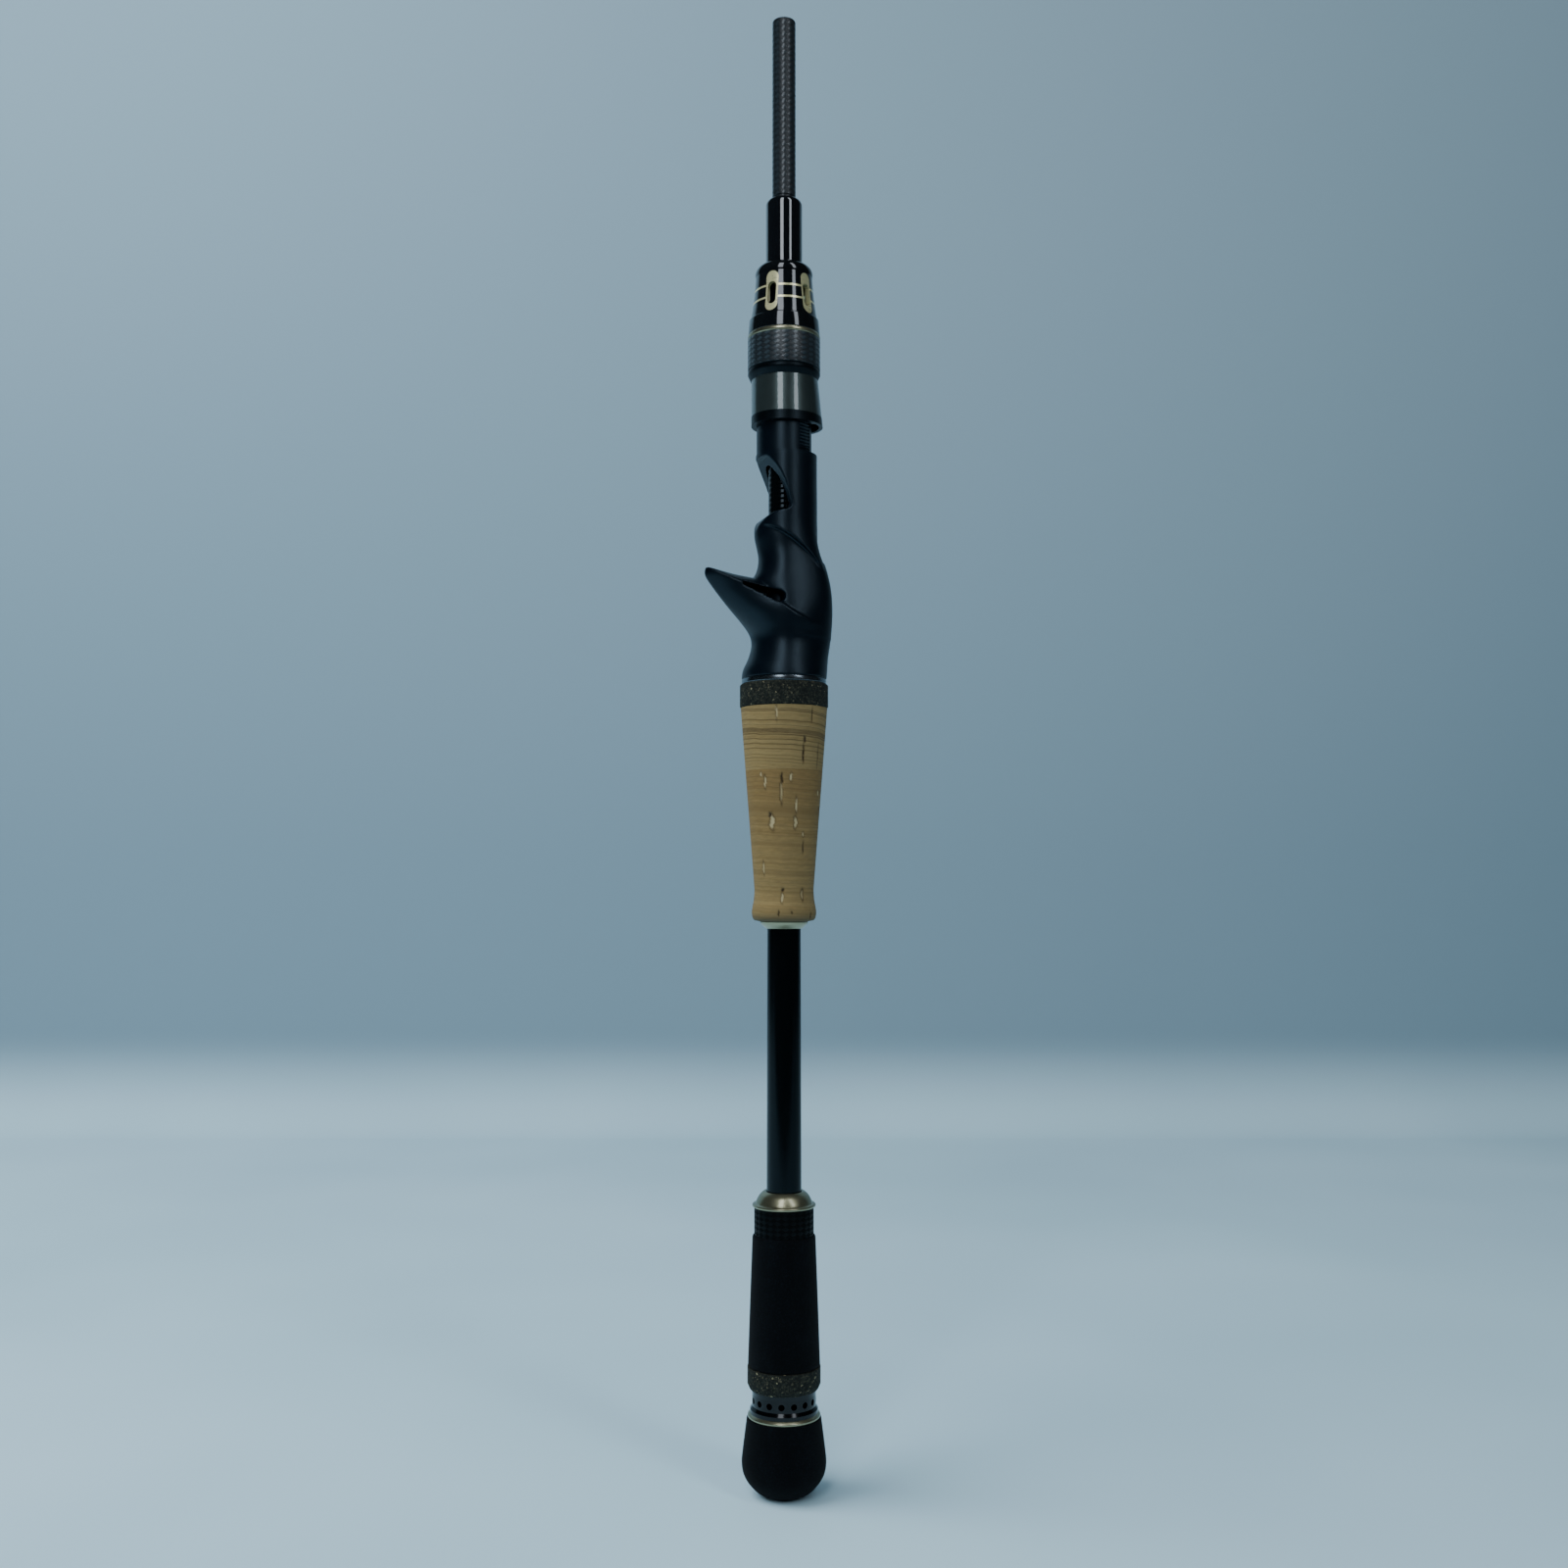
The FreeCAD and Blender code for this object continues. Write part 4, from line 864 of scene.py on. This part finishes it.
@dataclass
class CorkGrip(SubAssembly):
    """Five cork rings between the front check and the seat's bright ring."""

    neck: tuple[Point, ...] = ((7.1, 0.0), (8.55, 0.25), (9.25, 0.95), (9.55, 2.6), (9.35, 4.3),
                               (8.95, 6.4), (8.75, 9.3))
    end_radius: float = 12.9
    run: float = 63.2
    row: float = 0.3
    steps: int = 230
    bores: tuple[float, ...] = (5.05, 5.05, 5.05, 5.0, 5.0)
    quiet: float = 1.0
    check: Ring = Ring(
        "flared_front_check", "front_check", "gold_alloy", Stuff.GOLD, bore=5.01,
        low=((5.35, 0.0), (5.75, 0.35), (6.4, 0.9), (6.9, 1.45)), high=((7.08, -0.2), (7.0, 0.0)),
        edge=0.06, spans=5)
    end_rings: tuple[Ring, ...] = (
        Ring("seat_rubber_cork", "grip_trim_ring", "rubber_cork", Stuff.RUBBER_CORK, bore=5.0,
             low=((12.75, 0.0), (13.15, 0.35)), high=((13.15, -0.35), (12.75, 0.0)), edge=0.2),
        Ring("seat_bright_ring", "seat_end_ring", "bright_alloy", Stuff.SILVER, bore=5.0,
             low=((12.4, 0.0), (12.6, 0.2)), high=((12.6, -0.2), (12.4, 0.0)), edge=0.12),
    )
    pits: tuple[Pit, ...] = (
        Pit(-10.0, 226.2, 2.5, 0.26, 0.25, 0.9), Pit(41.0, 225.6, 2.3, 0.2, 0.3, 0.0),
        Pit(30.0, 218.4, 1.3, 0.45, 0.3, 0.2), Pit(29.0, 214.2, 3.4, 0.3, 0.5, 0.0),
        Pit(58.0, 214.0, 4.2, 0.3, 0.4, 0.3), Pit(-29.6, 206.0, 2.0, 0.45, 0.25, 0.8),
        Pit(-36.0, 208.3, 0.8, 0.35, 0.2, 0.9), Pit(-3.0, 207.0, 1.9, 0.35, 0.5, 0.0),
        Pit(-4.0, 203.0, 3.3, 0.42, 0.4, 0.55), Pit(10.5, 207.4, 1.3, 0.5, 0.2, 0.9),
        Pit(19.7, 199.3, 2.3, 0.36, 0.25, 0.9), Pit(19.0, 194.2, 1.9, 0.6, 0.3, 0.8),
        Pit(-20.0, 194.4, 2.4, 0.85, 0.35, 0.85), Pit(-23.5, 196.4, 1.0, 0.5, 0.3, 0.3),
        Pit(34.0, 190.8, 0.8, 0.4, 0.3, 0.7), Pit(35.0, 187.0, 2.2, 0.25, 0.25, 0.1),
        Pit(-40.0, 181.0, 2.0, 0.35, 0.15, 0.7), Pit(-3.5, 172.3, 1.6, 0.45, 0.35, 0.9),
        Pit(-2.0, 174.6, 0.6, 0.5, 0.3, 0.1), Pit(36.6, 173.2, 1.7, 0.5, 0.35, 0.4),
        Pit(-9.0, 167.8, 1.1, 0.28, 0.3, 0.0), Pit(56.0, 167.2, 1.1, 0.3, 0.3, 0.0),
        Pit(66.0, 203.0, 1.0, 0.5, 0.2, 1.0), Pit(14.0, 168.0, 0.5, 0.3, 0.2, 0.0),
    )
    seed: int = 7
    spare_pits: int = 70

    def build(self) -> None:
        """Model every piece of the cork grip."""
        self.turn_ring(self.check)
        marks = [*self.pits, *self.scattered()]
        for index in range(len(self.bores)):
            self.cork_ring(index, marks)
        for ring in self.end_rings:
            self.turn_ring(ring)

    def scattered(self) -> list[Pit]:
        """Pits for the sides that the listed ones leave bare.

        Returns:
            Seeded random pits, kept off the front.
        """
        rng = random.Random(self.seed)
        marks = []
        for _ in range(self.spare_pits):
            side = rng.uniform(72.0, 288.0)
            length = rng.choice((0.6, 1.0, 1.6, 2.4, 3.4))
            marks.append(Pit(side, rng.uniform(166.5, 227.5), length, rng.uniform(0.2, 0.6),
                             rng.uniform(0.15, 0.45), rng.choice((0.0, 0.0, 0.4, 0.9))))
        return marks

    def side_radius(self, height: float) -> float:
        """Radius of the turned side at a height above the grip's foot, in millimetres."""
        line = rounded(self.neck, 8)
        radius, start = self.neck[-1]
        if height >= start:
            share = (height - start) / (self.run - start)
            return radius + share * (self.end_radius - radius)
        return float(np.interp(height, [z for _, z in line], [r for r, _ in line]))

    def cork_ring(self, index: int, marks: Sequence[Pit]) -> None:
        """Turn one ring, and press its lenticels into the side.

        Args:
            index: Number of the ring, from the foot.
            marks: Every pit of the grip.
        """
        node = f"cork_ring_{index + 1}"
        foot, top = self.foot(node), self.top(node)
        start = self.foot("cork_ring_1")
        rows = round((top - foot) / self.row)
        heights = [foot + (top - foot) * step / rows for step in range(rows + 1)]
        side = [(self.side_radius(z - start), z) for z in heights]
        bore = self.bores[index]
        section = [(bore, foot), *side, (bore, top)]
        ring = self.lathe.turn(f"bark_{node}", section, edge=0.0, steps=self.steps)
        self.press(ring, marks, bore + self.quiet)
        self.stand_for(ring, [node], "cork", Stuff.CORK)

    @staticmethod
    def press(ring: Piece, marks: Sequence[Pit], within: float) -> None:
        """Sink the pits, and record their rims and fillings for the finish.

        Args:
            ring: The turned ring.
            marks: Every pit of the grip.
            within: Radius in millimetres inside which nothing moves.
        """
        mesh = ring.data
        flat = np.zeros(len(mesh.vertices) * 3)
        mesh.vertices.foreach_get("co", flat)
        place = flat.reshape(-1, 3) / MM
        radius = np.hypot(place[:, 0], place[:, 1])
        turn = np.degrees(np.arctan2(place[:, 0], -place[:, 1])) - FRONT
        outer = radius > within
        sink, rim, fill = (np.zeros(len(place)) for _ in range(3))
        for mark in marks:
            effect = mark.effect(mark.reach(turn, place[:, 2], radius))
            sink, rim, fill = (np.maximum(so_far, more * outer)
                               for so_far, more in zip((sink, rim, fill), effect))
        place[:, :2] *= (1.0 - sink / np.maximum(radius, 0.001))[:, None]
        mesh.vertices.foreach_set("co", (place * MM).ravel())
        for name, values in (("pit_rim", rim), ("pit_fill", fill)):
            mesh.attributes.new(name, "FLOAT", "POINT").data.foreach_set("value", values)
        mesh.update()


@dataclass
class Seat(SubAssembly):
    """Moulded skeleton seat with the trigger, on two foam arbors."""

    grain: float = 0.32
    soften: int = 3
    ledge: float = 67.6
    lap: float = 0.3

    def build(self) -> None:
        """Model the moulding with softened edges and a crisp thread, and dress the arbors."""
        ledge = self.foot("reel_seat") + self.ledge
        moulding = self.copy_of("reel_seat", "moulded_trigger_seat")
        self.cut_to(moulding, 0.0, ledge - self.lap)
        self.skin(moulding)
        barrel = self.copy_of("reel_seat", "threaded_barrel")
        self.cut_to(barrel, ledge - 3 * self.lap, self.top("reel_seat") + 1.0)
        smooth(barrel)
        take(moulding)
        barrel.select_set(True)
        bpy.ops.object.join()
        self.stand_for(moulding, ["reel_seat"], "seat_plastic", Stuff.NYLON)
        self.dress("seat_arbor_rear", Stuff.ARBOR)
        self.dress("seat_arbor_front", Stuff.ARBOR)

    def copy_of(self, node: str, name: str) -> Piece:
        """Copy a CAD node's mesh as a new piece, with its loose triangles joined.

        Args:
            node: Name of the node.
            name: Name of the new piece.

        Returns:
            The new piece.
        """
        take(self.frame["nodes"][node])
        bpy.ops.object.duplicate()
        piece = bpy.context.object
        piece.name = piece.data.name = name
        piece.parent = None
        take(piece)
        bpy.ops.object.mode_set(mode="EDIT")
        bpy.ops.mesh.select_all(action="SELECT")
        bpy.ops.mesh.remove_doubles(threshold=2e-6)
        bpy.ops.object.mode_set(mode="OBJECT")
        bpy.ops.mesh.customdata_custom_splitnormals_clear()
        return piece

    @staticmethod
    def cut_to(piece: Piece, low: float, high: float) -> None:
        """Keep only what lies between two heights, and close the cuts.

        Args:
            piece: What is cut.
            low: Lower height in millimetres.
            high: Upper height in millimetres.
        """
        wide = 0.1
        clear_selection()
        bpy.ops.mesh.primitive_cube_add(size=1.0, location=(0, 0, (low + high) / 2 * MM))
        block = bpy.context.object
        bpy.ops.transform.resize(value=(wide, wide, (high - low) * MM))
        apply_modifier(piece, "BOOLEAN", operation="INTERSECT", object=block, solver="EXACT")
        take(block)
        bpy.ops.object.delete()

    def skin(self, piece: Piece) -> None:
        """Rebuild the moulding as an even skin, then let its moulded edges round over.

        Args:
            piece: The part of the seat below the barrel.
        """
        apply_modifier(piece, "REMESH", mode="VOXEL", voxel_size=self.grain * MM,
                       use_smooth_shade=True)
        apply_modifier(piece, "SMOOTH", factor=0.5, iterations=self.soften)
        smooth(piece, 60.0)


@dataclass
class Hood(SubAssembly):
    """Sliding hood: moulded liner and metal band."""

    body: str = "hood"

    def build(self) -> None:
        """Dress the hood."""
        self.dress("hood_liner", Stuff.RIM)
        self.dress("hood_band", Stuff.GUNMETAL)


@dataclass
class LockNut(SubAssembly):
    """Lock nut and the foregrip that turns with it."""

    body: str = "lock_nut"
    rings: tuple[Ring, ...] = (
        Ring("grooved_thrust_ring", "nut_thrust_ring", "black_plastic", Stuff.RIM, bore=8.33,
             low=((10.1, 0.0), (10.75, 1.5), (10.9, 1.8)),
             high=((10.9, -0.75), (10.6, -0.6), (10.6, -0.3), (10.9, -0.15), (10.9, 0.0)),
             edge=0.1),
        Ring("nut_braid_band", "nut_carbon_ring", "carbon_weave", Stuff.BRAID, bore=9.64,
             low=((10.9, 0.0),), high=((10.9, 0.0),), edge=0.15),
        Ring("nut_gilt_ring", "nut_gold_ring", "gold_alloy", Stuff.GOLD, bore=9.64,
             low=((10.78, 0.0), (10.93, 0.35), (10.95, 0.65)), high=((10.93, -0.35), (10.78, 0.0)),
             edge=0.0, spans=4),
        Ring("lacquered_collar", "foregrip_collar", "gloss_black", Stuff.LACQUER, bore=8.38,
             low=((10.83, 0.0),), high=((10.6, -0.3), (10.3, 0.0)), edge=0.22),
    )

    def build(self) -> None:
        """Model the nut's rings, and dress the foregrip that turns with them."""
        for ring in self.rings:
            self.turn_ring(ring)
        self.dress("nut_core", Stuff.PLUG)
        for node in ("window_bezels", "pinstripes"):
            self.dress(node, Stuff.BEZEL)
        self.dress("foregrip_shell", Stuff.LACQUER)


@dataclass
class Ferrule(SubAssembly):
    """Thread wrap and the male ferrule that takes the tip section."""

    def build(self) -> None:
        """Dress the wrap, the spigot and its plug."""
        self.dress("front_wrap", Stuff.THREAD)
        self.dress("ferrule_spigot", Stuff.SPIGOT)
        self.dress("spigot_plug", Stuff.PLUG)


# ---------------------------------------------------------------- studio

@dataclass(frozen=True)
class Softbox:
    """One soft light: where it stands as seen from the rod, and how large and bright it is."""

    name: str
    side: float
    distance: float
    low: float
    high: float
    width: float
    power: float


@dataclass
class Studio:
    """Pale floor and sweep, soft lights, and the camera. Places and sizes are in metres."""

    eye: tuple[float, float] = (0.4771, 0.177)
    aim: float = 0.206
    lens: float = 36.9
    sweep: float = 0.70
    boxes: tuple[Softbox, ...] = (
        Softbox("left_box", -13.0, 0.95, 0.47, 1.75, 0.34, 7.5),
        Softbox("right_box", 41.0, 0.95, 0.47, 1.75, 0.22, 4.6),
    )
    boxes_dip: float = 0.25
    wash_place: tuple[float, ...] = (-0.95, 0.1, 1.25)
    wash_aim: tuple[float, ...] = (-0.25, 0.0, 0.0)
    wash_size: float = 1.1
    wash_power: float = 24.0
    ambient: float = 0.09
    ambient_seen: float = 0.2
    ambient_mirrored: float = -0.06
    floor_width: float = 3.2
    apron: float = 0.55
    wall: tuple[float, ...] = (0.0, 0.12, 1.6)
    wall_curve: float = 0.06

    @staticmethod
    def towards(side: float) -> Vector:
        """Level direction at an angle in degrees to the viewer's right of the front."""
        turn = math.radians(FRONT + side)
        return Vector((math.sin(turn), -math.cos(turn), 0.0))

    def camera(self) -> None:
        """Stand the camera low in front of the rod."""
        data = bpy.data.cameras.new("camera")
        data.lens = self.lens
        data.sensor_width = 36.0
        eye = bpy.data.objects.new("camera", data)
        bpy.context.scene.collection.objects.link(eye)
        reach, height = self.eye
        eye.location = self.towards(0.0) * reach + Vector((0, 0, height))
        look = Vector((0, 0, self.aim)) - eye.location
        eye.rotation_mode = "QUATERNION"
        eye.rotation_quaternion = look.to_track_quat("-Z", "Y")
        bpy.context.scene.camera = eye

    def lights(self) -> None:
        """Hang the softboxes, a wide overhead light, and dim light from all round."""
        for box in self.boxes:
            middle = (box.low + box.high) / 2
            self.light(box.name, self.towards(box.side) * box.distance + Vector((0, 0, middle)),
                       Vector((0, 0, middle - self.boxes_dip)), (box.width, box.high - box.low),
                       box.power)
        wash = self.light("overhead", Vector(self.wash_place), Vector(self.wash_aim),
                          (self.wash_size, self.wash_size), self.wash_power)
        wash.visible_glossy = False
        world = bpy.data.worlds.new("studio")
        bpy.context.scene.world = world
        world.use_nodes = True
        tree = world.node_tree
        seen = add_node(tree, "LightPath").outputs["Is Camera Ray"]
        glint = add_node(tree, "LightPath").outputs["Is Glossy Ray"]
        level = reckon(tree, "MULTIPLY_ADD", glint, self.ambient_mirrored,
                       ("MULTIPLY_ADD", seen, self.ambient_seen, self.ambient))
        back = tree.nodes["Background"]
        back.inputs["Color"].default_value = linear("c3d6e0")
        tree.links.new(level, back.inputs["Strength"])

    @staticmethod
    def light(name: str, place: Vector, aim: Vector, size: tuple[float, float],
              power: float) -> Piece:
        """Hang one soft rectangular light.

        Args:
            name: Its name.
            place: Its middle.
            aim: The point that it faces.
            size: Width and height in metres.
            power: Watts.

        Returns:
            The light's object.
        """
        data = bpy.data.lights.new(name, "AREA")
        data.shape = "RECTANGLE"
        data.size, data.size_y = size
        data.energy = power
        data.color = linear("eaf4ff")[:3]
        lamp = bpy.data.objects.new(name, data)
        lamp.location = place
        lamp.rotation_mode = "QUATERNION"
        lamp.rotation_quaternion = (aim - place).to_track_quat("-Z", "Y")
        lamp.visible_camera = False
        bpy.context.scene.collection.objects.link(lamp)
        return lamp

    def floor(self) -> None:
        """Lay the pale floor and curve it up into the backdrop behind the rod."""
        clear_selection()
        bpy.ops.mesh.primitive_plane_add(size=1.0, location=(0, 0, 0))
        sheet = bpy.context.object
        sheet.name = sheet.data.name = "studio_sweep"
        bpy.ops.object.mode_set(mode="EDIT")
        bpy.ops.transform.resize(value=(self.floor_width, self.sweep + self.apron, 1.0))
        bpy.ops.transform.translate(value=(0, (self.sweep - self.apron) / 2, 0))
        bpy.ops.mesh.select_all(action="DESELECT")
        bpy.ops.object.mode_set(mode="OBJECT")
        for edge in sheet.data.edges:
            ends = [sheet.data.vertices[v] for v in edge.vertices]
            edge.select = all(v.co.y > 0 for v in ends)
            for vertex in ends:
                vertex.select = vertex.select or edge.select
        bpy.ops.object.mode_set(mode="EDIT")
        bpy.ops.mesh.select_mode(type="EDGE")
        bpy.ops.mesh.extrude_region_move(TRANSFORM_OT_translate={"value": self.wall})
        bpy.ops.object.mode_set(mode="OBJECT")
        apply_modifier(sheet, "BEVEL", width=self.wall_curve, segments=12, limit_method="ANGLE")
        smooth(sheet, 40.0)
        take(sheet)
        sheet.rotation_euler = (0, 0, math.radians(FRONT))
        bpy.ops.object.transform_apply(location=False, rotation=True, scale=False)
        sheet.data.materials.append(self.paper())

    @staticmethod
    def paper() -> bpy.types.Material:
        """Pale matte vinyl, with painted shade making the backdrop darker than the floor, lifting
        higher up.
        """
        made = bpy.data.materials.new("pale_vinyl_sweep")
        made.use_nodes = True
        tree = made.node_tree
        shader = tree.nodes["Principled BSDF"]
        mottle = clouded(tree, 260.0, 300.0, 2.0)
        height = axes(tree)["Z"]
        # Painted shade: the sweep is coloured darker where it turns up into the backdrop.
        painted_wall_shade = add_node(tree, "MapRange", {"interpolation_type": "SMOOTHSTEP"},
                        {"Value": height, "From Max": 0.07}).outputs["Result"]
        # The painted shade on the backdrop lifts towards its top.
        climb = add_node(tree, "MapRange", inputs={"Value": height, "From Min": 0.2,
                                                   "From Max": 1.1}).outputs["Result"]
        low = shades(tree, mottle, [(0.3, "bbdbe6"), (0.7, "c8e7f1")])
        high = shades(tree, climb, [(0.0, "839ca8"), (1.0, "9db6c1")])
        tint = add_node(tree, "Mix", {"data_type": "RGBA"}, {0: painted_wall_shade, 6: low, 7: high}).outputs[2]
        tree.links.new(tint, shader.inputs["Base Color"])
        shader.inputs["Roughness"].default_value = 0.6
        return made


def main() -> None:
    """Load the frame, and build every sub-assembly and the studio."""
    logging.basicConfig(level=logging.INFO, format="%(message)s")
    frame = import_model()
    studio = Studio()
    studio.camera()
    for group in (RearHandle, CorkGrip, Seat, Hood, LockNut, Ferrule):
        LOG.info("-- %s", group.__name__)
        group(frame).build()
    studio.floor()
    studio.lights()
    clear_selection()


if __name__ == "__main__":
    main()
